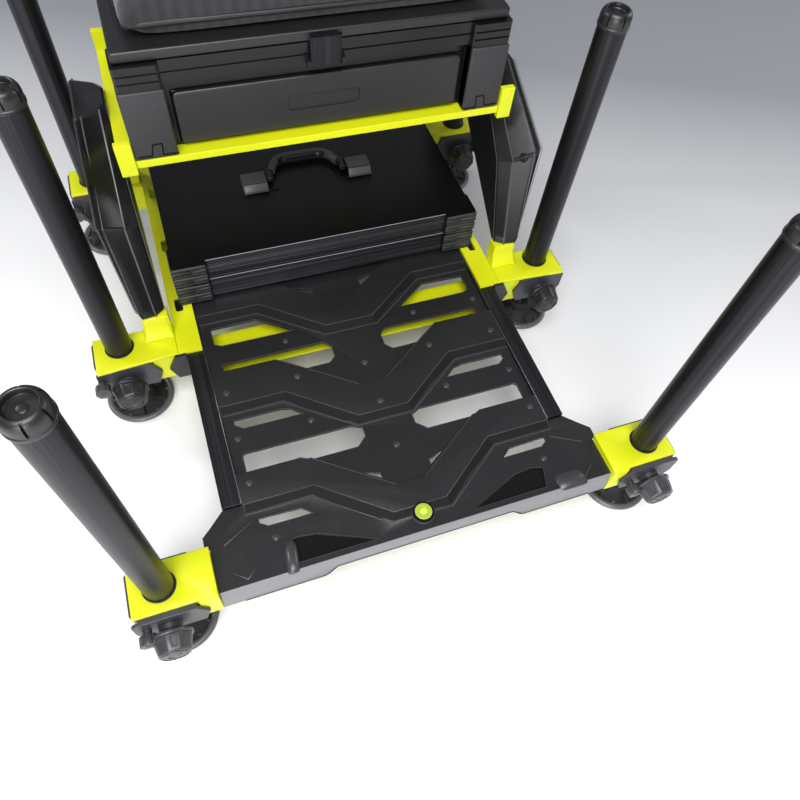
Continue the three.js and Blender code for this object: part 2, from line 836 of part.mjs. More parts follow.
function upperFrame() {
  const half = archInner - fit;
  const back = rearPitch - frameFront;
  const ring = outline(rectangle(-half, half, frameFront, back));
  const inner = half - frameBar;
  ring.holes.push(outline(
    rectangle(-inner, inner, frameFront + frameBar, back - frameBar), blockRound,
  ));
  const top = deckHeight + frameTop;
  const lugs = [1, -1].flatMap((side) => [frameFront, back].map((y) => box(
    ...ordered(side * (half - lugWidth), side * half), y - lugThick / 2, y + lugThick / 2,
    top - lugDrop, top + lugRise,
  )));
  return join(prism(ring, 'z', top - frameThick, top), ...lugs);
}

addPair('side_arch', sideArch(), mouldedBlack);
add('upper_frame', upperFrame(), lime);

// Trays with corner castings, used for the carry case, the drawer unit and the seat tray

// Corner castings of a box, proud of its walls, the front ones with two grooves
function corners(half, front, back, low, high) {
  const grooves = [1, 2].map((i) => low + (i * (high - low)) / 3);
  const outer = half + cornerProud;
  return [1, -1].flatMap((side) => {
    const [x0, x1] = ordered(side * (outer - cornerWidth), side * outer);
    const casting = (y0, y1) => prism(
      outline(rectangle(x0, x1, y0, y1), cornerProud), 'z', low, high, 0, 1,
    );
    const face = front - cornerFrontProud;
    const cuts = grooves.map((z) => box(
      x0 - overrun, x1 + overrun, face - overrun, face + profileGroove,
      z - cornerRib / 2, z + cornerRib / 2,
    ));
    return [
      cut(casting(face, front + cornerDepth), ...cuts),
      casting(back - cornerDepth, back + cornerProud),
    ];
  });
}

// A box of extruded profile with corner castings, hollowed from the side that is open
function tray({ half, front, back, low, high, floor, wall, open }) {
  const middle = (low + high) / 2;
  const body = box(-half, half, front, back, low, high);
  const groove = box(
    -half - overrun, half + overrun, front - overrun, front + profileGroove,
    middle - cornerRib / 2, middle + cornerRib / 2,
  );
  const hollow = open === 'top'
    ? box(-half + wall, half - wall, front + wall, back - wall, low + floor, high + overrun)
    : box(-half + wall, half - wall, front + wall, back - wall, low - overrun, high - floor);
  return cut(join(cut(body, groove), ...corners(half, front, back, low, high)), hollow);
}

// Two hinges along the back: the knuckles that stay with the lower box, with their pins,
// and the single knuckles that turn with the lid
function hinges(back, z) {
  const y = back + hingeBarrel + hingeGap;
  const inner = hingeLength / 6;
  const lower = [];
  const upper = [];
  [hingeHalf, -hingeHalf].forEach((x) => {
    [[x - hingeLength / 2, x - inner - fit], [x + inner + fit, x + hingeLength / 2]].forEach(([x0, x1]) => {
      lower.push(bar('x', hingeBarrel, x0, x1, [y, z], pinSides));
      lower.push(box(x0, x1, back - fit, y, z - hingeLeaf, z - fit));
    });
    lower.push(bar('x', hingePin, x - hingeLength / 2, x + hingeLength / 2, [y, z], pinSides));
    upper.push(cut(
      join(
        bar('x', hingeBarrel, x - inner, x + inner, [y, z], pinSides),
        box(x - inner, x + inner, back - fit, y, z + fit, z + hingeLeaf),
      ),
      bar('x', hingePin + 2 * fit, x - hingeLength, x + hingeLength, [y, z], pinSides),
    ));
  });
  return { lower, upper };
}

// Carry case, its lid and the folding handle

const caseLow = deckHeight + fit;
const caseMiddle = deckHeight + caseSplit;
const caseTop = deckHeight + caseHeight;
const caseBack = caseFront + caseDepth;
const caseHinges = hinges(caseBack, caseMiddle + fit / 2);
const caseShape = { half: caseHalf, front: caseFront, back: caseBack, floor: caseFloor, wall: caseWall };

const handleY = caseFront + handlePlace;
const handleZ = caseTop + mountPlate + handleLift;

function caseLid() {
  const shell = tray({ ...caseShape, low: caseMiddle + fit, high: caseTop, open: 'bottom' });
  const mounts = [1, -1].map((side) => {
    const half = mountDepth / 2;
    const third = mountDepth / 3;
    const peak = caseTop + mountHeight;
    const plate = prism(
      outline(
        rectangle(...ordered(side * mountInner, side * mountOuter), handleY - half, handleY + half),
        handleBar / 2,
      ),
      'z', caseTop - fit, caseTop + mountPlate,
    );
    const lug = prism(outline([
      [handleY - half, caseTop], [handleY + half, caseTop], [handleY + third, peak], [handleY - third, peak],
    ]), 'x', ...ordered(side * (handleHalf + handleGap), side * mountOuter));
    const reach = handleHalf + handlePinLength + fit;
    const bore = bar(
      'x', handlePin + fit, ...ordered(0, side * reach), [handleY, handleZ], boreSides,
    );
    return cut(join(plate, lug), bore);
  });
  return join(shell, ...mounts, ...caseHinges.upper);
}

// The handle's outer and inner edge: insets as shares of its arm, rises of its reach
const handleOuterShares = [[0, 0], [0, 0.33], [1.6, 0.91], [3.4, 1.1]];
const handleInnerShares = [[1, 0], [1, 0.28], [2.5, 0.75], [3.8, 0.91]];

function caseHandle() {
  const near = handleY - handleBar / 2;
  const place = ([inset, rise]) => [handleHalf - inset * handleArm, near + rise * handleReach];
  const outer = both(handleOuterShares.map(place));
  const inner = both(handleInnerShares.map(place));
  const arch = prism(
    outline([...outer, ...inner.reverse()]),
    'z', handleZ - handleBar / 2, handleZ + handleBar / 2, handleBar / 6,
  );
  const pins = [1, -1].map((side) => bar(
    'x', handlePin, ...ordered(side * (handleHalf - handleArm / 2), side * (handleHalf + handlePinLength)),
    [handleY, handleZ], boreSides,
  ));
  return join(arch, ...pins);
}

const caseTray = tray({ ...caseShape, low: caseLow, high: caseMiddle, open: 'top' });
add('case_base', join(caseTray, ...caseHinges.lower), panelBlack);
add('case_lid', caseLid(), panelBlack);
add('case_handle', caseHandle(), mouldedBlack);

// Drawer unit on the upper frame

const unitLow = deckHeight + frameTop + fit;
const unitTop = unitLow + unitHeight;
const unitFace = unitFront + unitSet;
const unitBack = unitFront + unitDepth;
const drawerLow = unitLow + unitWall + fit;

function drawerUnit() {
  const opening = drawerLow + drawerHeight + drawerGap;
  const inside = unitHalf - unitWall;
  const shell = join(
    box(-unitHalf, unitHalf, unitFace, unitBack, unitLow, unitTop),
    ...corners(unitHalf, unitFront, unitBack, unitLow, unitTop),
  );
  const edge = drawerSide + drawerGap;
  const low = unitLow + unitWall;
  const mouth = box(
    -edge, edge, unitFront - cornerFrontProud - overrun, unitFront + cornerDepth + overrun, low, opening,
  );
  const hollow = box(-inside, inside, unitFace + unitWall, unitBack - unitWall, low, unitTop - unitWall);
  const ledges = [1, -1].map((side) => box(
    ...ordered(side * edge, side * (edge + unitWall)), unitFace + unitWall / 2, unitBack - unitWall / 2,
    unitLow + unitWall / 2, drawerLow + drawerHeight / 3,
  ));
  return join(cut(shell, mouth, hollow), ...ledges);
}

function drawer() {
  const back = unitBack - unitWall - drawerGap;
  const front = unitFace;
  const top = drawerLow + drawerHeight;
  const body = box(-drawerSide, drawerSide, front, back, drawerLow, top);
  const hollow = box(
    -drawerSide + drawerWall, drawerSide - drawerWall, front + drawerWall, back - drawerWall,
    drawerLow + drawerWall, top + overrun,
  );
  const face = prism(
    outline(rectangle(-drawerSide, drawerSide, drawerLow, top), drawerFace),
    'y', front - drawerFace, front + drawerWall / 2, edgeBevel,
  );
  const middle = (drawerLow + top) / 2;
  const grip = rectangle(
    -pullWidth / 2, pullWidth / 2, middle - pullHeight / 2, middle + pullHeight / 2,
  );
  const pull = prism(
    outline(grip, pullHeight / 3), 'y', front - drawerFace - overrun, front - drawerFace + pullDepth,
  );
  return cut(join(cut(body, hollow), face), pull);
}

add('drawer_unit', drawerUnit(), panelBlack);
add('drawer', drawer(), mouldedBlack);

// Seat tray with its catch, and the padded lid

const trayLow = unitTop + fit;
const trayTop = trayLow + trayHeight;
const boardLow = trayTop + fit;
const boardTop = boardLow + seatBoard;
const seatHinges = hinges(unitBack, trayTop + fit / 2);
const latchY = unitFront - latchNose - fit - latchThick / 2;
const latchZ = trayLow + latchEar + latchPin;

function seatTray() {
  const shell = tray({
    ...caseShape, half: unitHalf, front: unitFront, back: unitBack,
    low: trayLow, high: trayTop, open: 'top',
  });
  const ears = [1, -1].map((side) => prism(outline([
    [latchY - latchEar, latchZ - latchEar], [unitFront + fit, latchZ - latchEar],
    [unitFront + fit, latchZ + 2 * latchEar], [latchY - latchEar, latchZ + latchEar],
  ]), 'x', ...ordered(side * (latchHalf + fit), side * (latchHalf + fit + latchEar))));
  const reach = latchHalf + 2 * latchEar;
  const bore = bar('x', latchPin + fit, -reach, reach, [latchY, latchZ], boreSides);
  return cut(join(shell, ...ears, ...seatHinges.lower), bore);
}

function seatLid() {
  const board = prism(
    outline(rectangle(-unitHalf, unitHalf, unitFront, unitBack), cornerProud),
    'z', boardLow, boardTop, edgeBevel,
  );
  const nose = box(
    -latchHalf, latchHalf, unitFront - latchNose, unitFront + latchNose, boardLow, boardLow + seatBoard / 2,
  );
  return join(board, nose, ...seatHinges.upper);
}

function seatLatch() {
  const face = unitFront - latchNose - fit;
  const top = boardLow + seatBoard;
  const profile = prism(outline([
    [face - latchThick, latchZ - latchThick], [face, latchZ - latchThick], [face, top - latchLip],
    [face - latchLip, top], [face - latchThick - latchLip, top], [face - latchThick, top - latchLip],
  ]), 'x', -latchHalf, latchHalf);
  const pin = bar('x', latchPin, -latchHalf - latchEar, latchHalf + latchEar, [latchY, latchZ], boreSides);
  return join(profile, pin);
}

// Crowned pad with drawn-in sides and sewn channels, seam all round
function cushion() {
  const halfX = unitHalf - cushionInset;
  const halfY = unitDepth / 2 - cushionInset;
  const middle = (unitFront + unitBack) / 2;
  const low = boardTop + fit;
  const shape = (i, j, upper) => {
    const u = Math.sin((Math.PI / 2) * ((2 * i) / cushionColumns - 1));
    const v = Math.sin((Math.PI / 2) * ((2 * j) / cushionRows - 1));
    const corner = 1 - (u * u * v * v) / 20;
    const x = u * corner * (halfX - cushionWaist * (1 - v * v) * u * u);
    const y = v * corner * (halfY - cushionWaist * (1 - u * u) * v * v);
    const edge = Math.sqrt(Math.max(0, (1 - u ** 8) * (1 - v ** 8)));
    let z = upper ? cushionSeam + (cushionHeight - cushionSeam) * edge : cushionSeam * (1 - edge) ** 1.2;
    for (let k = 1; upper && k <= cushionChannels; k += 1) {
      const place = halfX * ((2 * k) / (cushionChannels + 1) - 1);
      z -= channelDepth * edge * Math.exp(-(((x - place) / channelWidth) ** 2));
    }
    return [x, middle + y, low + z];
  };
  const positions = [];
  const quads = [];
  [true, false].forEach((upper) => {
    const base = positions.length / 3;
    for (let j = 0; j <= cushionRows; j += 1) {
      for (let i = 0; i <= cushionColumns; i += 1) positions.push(...shape(i, j, upper));
    }
    for (let j = 0; j < cushionRows; j += 1) {
      for (let i = 0; i < cushionColumns; i += 1) {
        const a = base + j * (cushionColumns + 1) + i;
        const [b, c, d] = [a + 1, a + cushionColumns + 2, a + cushionColumns + 1];
        if (upper) quads.push(a, b, c, a, c, d);
        else quads.push(a, c, b, a, d, c);
      }
    }
  });
  const geometry = new THREE.BufferGeometry();
  geometry.setAttribute('position', new THREE.Float32BufferAttribute(positions, 3));
  geometry.setIndex(quads);
  return solid(geometry);
}

add('seat_tray', seatTray(), panelBlack);
add('seat_lid', seatLid(), mouldedBlack);
add('seat_latch', seatLatch(), anodised);
add('seat_cushion', cushion(), fabric);

// The origin lies on the floor, under the middle of the whole object
const extent = new THREE.Box3().setFromObject(model, true);
model.position.y = -(extent.min.y + extent.max.y) / 2;

export default model;
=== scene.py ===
import json
import math

import bpy
from mathutils import Matrix, Vector
from mathutils.bvhtree import BVHTree


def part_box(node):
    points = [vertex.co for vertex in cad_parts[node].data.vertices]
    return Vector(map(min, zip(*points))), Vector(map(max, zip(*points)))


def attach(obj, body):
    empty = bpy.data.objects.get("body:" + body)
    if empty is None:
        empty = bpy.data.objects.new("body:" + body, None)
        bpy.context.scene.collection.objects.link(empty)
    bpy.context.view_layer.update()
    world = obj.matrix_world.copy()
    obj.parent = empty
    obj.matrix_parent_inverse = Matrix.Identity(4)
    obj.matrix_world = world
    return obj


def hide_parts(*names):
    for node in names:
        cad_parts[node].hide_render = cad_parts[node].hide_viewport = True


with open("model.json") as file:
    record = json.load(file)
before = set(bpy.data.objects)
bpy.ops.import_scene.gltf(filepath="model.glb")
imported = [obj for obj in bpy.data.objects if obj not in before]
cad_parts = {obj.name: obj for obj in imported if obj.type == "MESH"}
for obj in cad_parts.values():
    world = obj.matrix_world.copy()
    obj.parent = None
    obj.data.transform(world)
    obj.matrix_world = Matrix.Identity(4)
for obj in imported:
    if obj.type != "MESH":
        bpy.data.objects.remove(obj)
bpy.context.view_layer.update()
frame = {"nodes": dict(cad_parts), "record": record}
nodes = frame["nodes"]
bodyOf = {node: body for body, members in frame["record"]["behaviour"]["bodies"].items() for node in members}
mm = 0.001
rows = ("front", "mid", "rear")
sides = {"right": 1, "left": -1}
rowShift = 8.5  # the middle legs stand this far behind the frame's origin
print("frame loaded", len(nodes))

# camera, light and floor

cameraView = {"place": (-193.9, -639.3, 916.1), "yaw": 25.867, "pitch": 57.572, "roll": 7.813,
              "lens": 30.27, "sensor": 36.0}


def addCamera(view):
    yaw, pitch, roll = (math.radians(view[k]) for k in ("yaw", "pitch", "roll"))
    right = Vector((math.cos(yaw), -math.sin(yaw), 0))
    ahead = Vector((math.sin(yaw) * math.cos(pitch), math.cos(yaw) * math.cos(pitch), -math.sin(pitch)))
    up = right.cross(ahead)
    tilted = math.cos(roll) * right + math.sin(roll) * up
    raised = math.cos(roll) * up - math.sin(roll) * right
    data = bpy.data.cameras.new("camera")
    data.lens = view["lens"]
    data.sensor_width = view["sensor"]
    camera = bpy.data.objects.new("camera", data)
    bpy.context.scene.collection.objects.link(camera)
    turn = Matrix((tilted, raised, -ahead)).transposed().to_4x4()
    camera.matrix_world = Matrix.Translation(Vector(view["place"]) * mm) @ turn
    bpy.context.scene.camera = camera


addCamera(cameraView)
bpy.context.scene.view_settings.view_transform = "Standard"


def colour(hexValue):
    parts = [int(hexValue[i:i + 2], 16) / 255 for i in (1, 3, 5)]
    return [*(c / 12.92 if c <= 0.04045 else ((c + 0.055) / 1.055) ** 2.4 for c in parts), 1]


def addNode(material, kind, sockets=None, **settings):
    # sockets take a value, or a (node, output) pair to link from
    node = material.node_tree.nodes.new(kind)
    for key, value in settings.items():
        setattr(node, key, value)
    for key, value in (sockets or {}).items():
        if isinstance(value, tuple) and isinstance(value[0], bpy.types.Node):
            material.node_tree.links.new(value[0].outputs[value[1]], node.inputs[key])
        else:
            node.inputs[key].default_value = value
    return node


lights = {
    "overhead": {"place": (-500, -1300, 2500), "aim": (0, -50, 100), "size": 1900, "power": 84},
    "front": {"place": (-900, -2300, 700), "aim": (0, -100, 150), "size": 1300, "power": 32},
    "glint": {"place": (-1500, 900, 1500), "aim": (0, 0, 150), "size": 260, "power": 9},
    "rightSide": {"place": (2300, 300, 1300), "aim": (0, 0, 200), "size": 1200, "power": 12},
}
studio = {"world": "#DCDEE4", "worldStrength": 0.32, "floor": "#F4F4F4", "floorFar": "#96999F",
          "floorSize": 9000, "floorBelow": 0.5, "fadeStart": -100, "fadeEnd": 1000, "lean": 0.45}


def addLights():
    for name, light in lights.items():
        data = bpy.data.lights.new(name, "AREA")
        data.shape = "DISK"
        data.size = light["size"] * mm
        data.energy = light["power"]
        lamp = bpy.data.objects.new(name, data)
        bpy.context.scene.collection.objects.link(lamp)
        place = Vector(light["place"]) * mm
        aim = Vector(light["aim"]) * mm - place
        lamp.matrix_world = Matrix.Translation(place) @ aim.to_track_quat("-Z", "Y").to_matrix().to_4x4()


def addStudio():
    world = bpy.data.worlds.new("studio")
    bpy.context.scene.world = world
    world.use_nodes = True
    background = world.node_tree.nodes["Background"]
    background.inputs["Color"].default_value = colour(studio["world"])
    background.inputs["Strength"].default_value = studio["worldStrength"]
    bpy.ops.object.select_all(action="DESELECT")
    bpy.ops.mesh.primitive_plane_add(size=studio["floorSize"] * mm, location=(0, 0, 0))
    floor = bpy.context.active_object
    floor.name = "studio_floor"
    floor.location.z = -studio["floorBelow"] * mm
    material = bpy.data.materials.new("matt studio paper")  # white near the camera, greyer far behind
    material.use_nodes = True
    shader = material.node_tree.nodes["Principled BSDF"]
    shader.inputs["Roughness"].default_value = 0.6
    shader.inputs["Specular IOR Level"].default_value = 0.2
    # painted shade: the paper greys away from the camera, where the studio light falls off behind the object
    place = addNode(material, "ShaderNodeTexCoord")
    split = addNode(material, "ShaderNodeSeparateXYZ", {0: (place, "Object")})
    lean = addNode(material, "ShaderNodeMath", {0: (split, "X"), 1: studio["lean"]}, operation="MULTIPLY")
    depth = addNode(material, "ShaderNodeMath", {0: (lean, 0), 1: (split, "Y")}, operation="ADD")
    fade = addNode(material, "ShaderNodeMapRange", {
        "Value": (depth, 0), "From Min": studio["fadeStart"] * mm, "From Max": studio["fadeEnd"] * mm,
    })
    mixed = addNode(material, "ShaderNodeMix", {
        0: (fade, 0), 6: colour(studio["floor"]), 7: colour(studio["floorFar"]),
    }, data_type="RGBA")
    material.node_tree.links.new(mixed.outputs[2], shader.inputs["Base Color"])
    floor.data.materials.append(material)


addLights()
addStudio()
print("camera, light and floor")


# finishes

def newMaterial(name, base, roughness, metallic=0.0, ior=1.45):
    material = bpy.data.materials.new(name)
    material.use_nodes = True
    shader = material.node_tree.nodes["Principled BSDF"]
    shader.inputs["Base Color"].default_value = colour(base)
    shader.inputs["Roughness"].default_value = roughness
    shader.inputs["Metallic"].default_value = metallic
    if not metallic:
        shader.inputs["IOR"].default_value = ior
    return material, shader


def mixInto(material, shader, factor, first, second):
    # the base colour swings between two hex colours
    mixed = addNode(material, "ShaderNodeMix", {0: factor, 6: colour(first), 7: colour(second)}, data_type="RGBA")
    material.node_tree.links.new(mixed.outputs[2], shader.inputs["Base Color"])


def roughInto(material, shader, factor, low, high):
    spread = addNode(material, "ShaderNodeMapRange", {"Value": factor, "To Min": low, "To Max": high})
    material.node_tree.links.new(spread.outputs[0], shader.inputs["Roughness"])


def bumpInto(material, shader, height, strength, distance):
    bump = addNode(material, "ShaderNodeBump", {"Height": height, "Strength": strength, "Distance": distance * mm})
    material.node_tree.links.new(bump.outputs[0], shader.inputs["Normal"])


paint = {"base": "#D5DA14", "shade": "#CBD00A", "peel": 1.4, "patch": 60, "rough": (0.34, 0.46), "bump": 0.03}


def powderCoat():
    # polyester powder coat, sprayed and baked: even colour, a fine orange peel and a soft gloss
    material, shader = newMaterial("lime powder coat", paint["base"], 0.4)
    place = addNode(material, "ShaderNodeTexCoord")
    patch = addNode(material, "ShaderNodeTexNoise", {
        "Vector": (place, "Object"), "Scale": 1 / (paint["patch"] * mm), "Detail": 3.0})
    peel = addNode(material, "ShaderNodeTexNoise", {
        "Vector": (place, "Object"), "Scale": 1 / (paint["peel"] * mm), "Detail": 2.0})
    mixInto(material, shader, (patch, 0), paint["base"], paint["shade"])
    roughInto(material, shader, (patch, 0), *paint["rough"])
    bumpInto(material, shader, (peel, 0), 0.35, paint["bump"])
    shader.inputs["Coat Weight"].default_value = 0.15
    shader.inputs["Coat Roughness"].default_value = 0.2
    return material


nylon = {"base": "#1B1B1D", "worn": "#2A2A2C", "grain": 0.9, "cloud": 45, "scuff": (140, 9, 40),
         "rough": (0.3, 0.44), "bump": 0.05}


def mouldedNylon(name="glass-filled nylon", base=nylon["base"], worn=nylon["worn"], rough=nylon["rough"]):
    # glass-filled nylon from a spark-eroded mould: satin, with a fine grain and faint grey scuffs
    material, shader = newMaterial(name, base, 0.45, ior=1.53)
    place = addNode(material, "ShaderNodeTexCoord")
    grain = addNode(material, "ShaderNodeTexNoise", {
        "Vector": (place, "Object"), "Scale": 1 / (nylon["grain"] * mm), "Detail": 3.0})
    cloud = addNode(material, "ShaderNodeTexNoise", {
        "Vector": (place, "Object"), "Scale": 1 / (nylon["cloud"] * mm), "Detail": 5.0, "Roughness": 0.6})
    along = addNode(material, "ShaderNodeMapping", {"Vector": (place, "Object"), "Scale": nylon["scuff"],
                                                    "Rotation": (0.1, 0.2, 0.5)})
    scuff = addNode(material, "ShaderNodeTexNoise", {"Vector": (along, 0), "Scale": 3.0, "Detail": 4.0})
    marks = addNode(material, "ShaderNodeMapRange", {"Value": (scuff, 0), "From Min": 0.56, "From Max": 0.78})
    thin = addNode(material, "ShaderNodeMath", {0: (marks, 0), 1: (cloud, 0)}, operation="MULTIPLY")
    mixInto(material, shader, (thin, 0), base, worn)
    roughInto(material, shader, (cloud, 0), *rough)
    bumpInto(material, shader, (grain, 0), 0.4, nylon["bump"])
    return material


anodic = {"base": "#242427", "light": "#3C3C41", "streak": 0.7, "length": 220, "rough": (0.3, 0.46), "bump": 0.02}


def anodised(axis, base=anodic["base"], light=anodic["light"]):
    # black anodised aluminium tube, drawn and brushed: fine streaks run along it
    material, shader = newMaterial(f"black anodised aluminium along {axis}", base, 0.4, metallic=0.85)
    place = addNode(material, "ShaderNodeTexCoord")
    scale = [1 / (anodic["streak"] * mm)] * 3
    scale["XYZ".index(axis)] = 1 / (anodic["length"] * mm)
    along = addNode(material, "ShaderNodeMapping", {"Vector": (place, "Object"), "Scale": scale})
    streak = addNode(material, "ShaderNodeTexNoise", {"Vector": (along, 0), "Scale": 1.0, "Detail": 3.0})
    broad = addNode(material, "ShaderNodeTexNoise", {"Vector": (along, 0), "Scale": 0.16, "Detail": 2.0})
    both = addNode(material, "ShaderNodeMath", {0: (streak, 0), 1: (broad, 0)}, operation="MULTIPLY")
    spread = addNode(material, "ShaderNodeMapRange", {"Value": (both, 0), "From Min": 0.12, "From Max": 0.42})
    mixInto(material, shader, (spread, 0), base, light)
    roughInto(material, shader, (streak, 0), *anodic["rough"])
    bumpInto(material, shader, (streak, 0), 0.3, anodic["bump"])
    return material


gum = {"base": "#1B1B1C", "dust": "#2C2B2A", "grain": 2.2, "rough": (0.62, 0.85), "bump": 0.15}


def footRubber():
    # vulcanised rubber: dull, a little dusty, with a soft mould texture
    material, shader = newMaterial("black vulcanised rubber", gum["base"], 0.75, ior=1.52)
    place = addNode(material, "ShaderNodeTexCoord")
    grain = addNode(material, "ShaderNodeTexNoise", {
        "Vector": (place, "Object"), "Scale": 1 / (gum["grain"] * mm), "Detail": 4.0})
    mixInto(material, shader, (grain, 0), gum["base"], gum["dust"])
    roughInto(material, shader, (grain, 0), *gum["rough"])
    bumpInto(material, shader, (grain, 0), 0.5, gum["bump"])
    return material


laminate = {"base": "#040506", "haze": "#090A0D", "cloud": 120, "grain": 0.8, "rough": (0.26, 0.36), "bump": 0.02}


def panelLaminate():
    # smooth ABS laminate sheet: near black, a faint blue haze and a broad soft reflection
    material, shader = newMaterial("black ABS laminate", laminate["base"], 0.35, ior=1.46)
    place = addNode(material, "ShaderNodeTexCoord")
    cloud = addNode(material, "ShaderNodeTexNoise", {
        "Vector": (place, "Object"), "Scale": 1 / (laminate["cloud"] * mm), "Detail": 3.0})
    grain = addNode(material, "ShaderNodeTexNoise", {
        "Vector": (place, "Object"), "Scale": 1 / (laminate["grain"] * mm), "Detail": 2.0})
    mixInto(material, shader, (cloud, 0), laminate["base"], laminate["haze"])
    roughInto(material, shader, (cloud, 0), *laminate["rough"])
    bumpInto(material, shader, (grain, 0), 0.25, laminate["bump"])
    return material


weave = {"thread": 2.4, "base": "#1C1C1F", "raised": "#2E2E32", "bump": 0.5}  # real threads are 0.6 mm


def wovenPolyester():
    # heavy woven polyester: crossing threads, drawn four times coarser so that they show
    material, shader = newMaterial("woven polyester", weave["base"], 0.85, ior=1.48)
    place = addNode(material, "ShaderNodeTexCoord")
    waves = [
        addNode(material, "ShaderNodeTexWave", {
            "Vector": (place, "Object"), "Scale": 0.05 / (weave["thread"] * mm), "Distortion": 0.4,
            "Detail": 1.0}, wave_type="BANDS", bands_direction=axis)
        for axis in ("X", "Y")]
    cross = addNode(material, "ShaderNodeMath", {0: (waves[0], "Fac"), 1: (waves[1], "Fac")}, operation="MULTIPLY")
    mixInto(material, shader, (cross, 0), weave["base"], weave["raised"])
    roughInto(material, shader, (cross, 0), 0.78, 0.95)
    bumpInto(material, shader, (cross, 0), 0.6, weave["bump"])
    shader.inputs["Sheen Weight"].default_value = 0.25
    shader.inputs["Sheen Roughness"].default_value = 0.5
    return material


finishes = {
    "lime_paint": powderCoat(),
    "black_moulding": mouldedNylon(),
    "black_anodised": anodised("Z"),
    "foot_rubber": footRubber(),
    "case_black": panelLaminate(),
    "seat_fabric": wovenPolyester(),
}


def plain(name, base, roughness, **more):
    return newMaterial(name, base, roughness, **more)[0]


# drawn aluminium under black oxide: the case's profiles and the runners, each streaked along its length
tubeAlongX = anodised("X", "#303034", "#6C6C72")
tubeAlongY = anodised("Y", "#29292C", "#47474C")
highlightNylon = mouldedNylon("nylon lightened for painted highlights", "#3A3A3D", "#4C4C50", (0.26, 0.36))  # painted highlight: a lighter nylon for the plate's creases, rims, screws, humps and folds, and the front and lock knobs
clampSheenNylon = mouldedNylon("clamp moulding lightened as painted sheen", "#35353B", "#46464D", (0.34, 0.44))  # painted sheen: the black moulding drawn a cooler, satin violet-grey, as its front faces look under the front light
castNylon = mouldedNylon("matt corner casting", "#2B2B2E", "#3B3B3F", (0.52, 0.62))  # cast, so duller than the sheets
wingNylon = mouldedNylon("glossy glass-filled nylon", "#19191B", "#262629", (0.18, 0.3))  # polished mould faces
highlightAluminium = plain("bare aluminium", "#9C9CA0", 0.3, metallic=1.0)  # painted highlight: a bright line along each runner's inner edge, where it catches the light
edgeHighlightAnodised = plain("anodised drawn pale as painted edge highlight", "#8A8A90", 0.3, ior=1.5)  # painted highlight: a light line along each edge
sheenNylon = plain("nylon drawn pale as painted sheen", "#505054", 0.34, ior=1.53)  # painted sheen: a soft shine on the mounts
paleHighlightNylon = plain("nylon drawn pale as painted highlight", "#48484C", 0.3, ior=1.53)  # painted highlight: moulded, drawn lighter for the wing's creases and the handle's grip
slopeShadeNylon = plain("matt nylon darkened as the slopes' painted shade", "#0A0A0B", 0.72, ior=1.33)  # painted shade: the slopes drawn near black, as they turn from the light; textured mould: no glint
paintedShadeBlack = plain("near black of painted shade", "#060606", 0.85, ior=1.3)  # painted shade: near black that reads as a gap, in the pockets, under the lip, along the drawer unit's stepped line and round the level
lipReflectionGrey = plain("light grey of the lip's painted reflection", "#77777B", 0.42, ior=1.48)  # painted reflection: the lip's moulding drawn pale against the plate, as it mirrors the bright floor
rimHighlightRubber = plain("grey rubber drawn light as painted highlight", "#58585C", 0.3, ior=1.5)  # painted highlight: cast, the feet's rims drawn lighter and shinier where they catch the light
pipingVinyl = plain("black piping vinyl", "#19191B", 0.42, ior=1.5)  # calendered: smoother than the cloth
vialGreen = plain("green spirit vial", "#9DB83A", 0.2, ior=1.48)  # tinted acrylic, polished
vialYellow = plain("yellow-green bubble", "#D9E45A", 0.16, ior=1.48)  # the brightest spot of the level
vialMaterial, vialShader = newMaterial("clear acrylic vial", "#DCEB8C", 0.12, ior=1.49)  # moulded, glass-smooth
vialShader.inputs["Coat Weight"].default_value = 0.6
finishes["vial"] = vialMaterial
print("finishes", len(finishes))


# how pieces are made, copied and handed over

def pick(piece):
    bpy.ops.object.select_all(action="DESELECT")
    piece.select_set(True)
    bpy.context.view_layer.objects.active = piece


def applied(piece, kind, **settings):
    pick(piece)
    modifier = piece.modifiers.new(kind.lower(), kind)
    for key, value in settings.items():
        setattr(modifier, key, value)
    bpy.ops.object.modifier_apply(modifier=modifier.name)


def smooth(piece, angle=35):
    pick(piece)
    bpy.ops.object.shade_smooth_by_angle(angle=math.radians(angle))


def settle(piece, body, material, stands=()):
    # gives a finished piece its material, its body and the node that it stands for
    piece.data.materials.clear()
    piece.data.materials.append(material)
    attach(piece, body)
    if stands:
        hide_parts(*stands)
    return piece


slotOf = {row["node"]: row["material_slot"] for row in frame["record"]["subparts"]}


def start(name, kind, **settings):
    # a primitive at its size and place, with everything else deselected
    bpy.ops.object.select_all(action="DESELECT")
    getattr(bpy.ops.mesh, f"primitive_{kind}_add")(**settings)
    piece = bpy.context.active_object
    piece.name = name
    return piece


def seated(piece):
    pick(piece)
    bpy.ops.object.transform_apply(location=True, rotation=True, scale=True)


def outward(piece):
    pick(piece)
    bpy.ops.object.mode_set(mode="EDIT")
    bpy.ops.mesh.select_all(action="SELECT")
    bpy.ops.mesh.normals_make_consistent(inside=False)
    bpy.ops.object.mode_set(mode="OBJECT")


def facesOf(piece, chosen):
    # to edit mode, with the chosen faces alone selected
    pick(piece)
    bpy.ops.object.mode_set(mode="EDIT")
    bpy.ops.mesh.select_mode(type="FACE")
    bpy.ops.mesh.select_all(action="DESELECT")
    bpy.ops.object.mode_set(mode="OBJECT")
    for polygon in piece.data.polygons:
        polygon.select = chosen(polygon)
    bpy.ops.object.mode_set(mode="EDIT")


def copied(piece, name, matrix):
    # a copy with its own mesh, moved there by the matrix
    copy = bpy.data.objects.new(name, piece.data.copy())
    bpy.context.scene.collection.objects.link(copy)
    copy.matrix_world = matrix
    seated(copy)
    if matrix.determinant() < 0:
        outward(copy)
    return copy


def moved(x, y, z):
    return Matrix.Translation(Vector((x, y, z)) * mm)


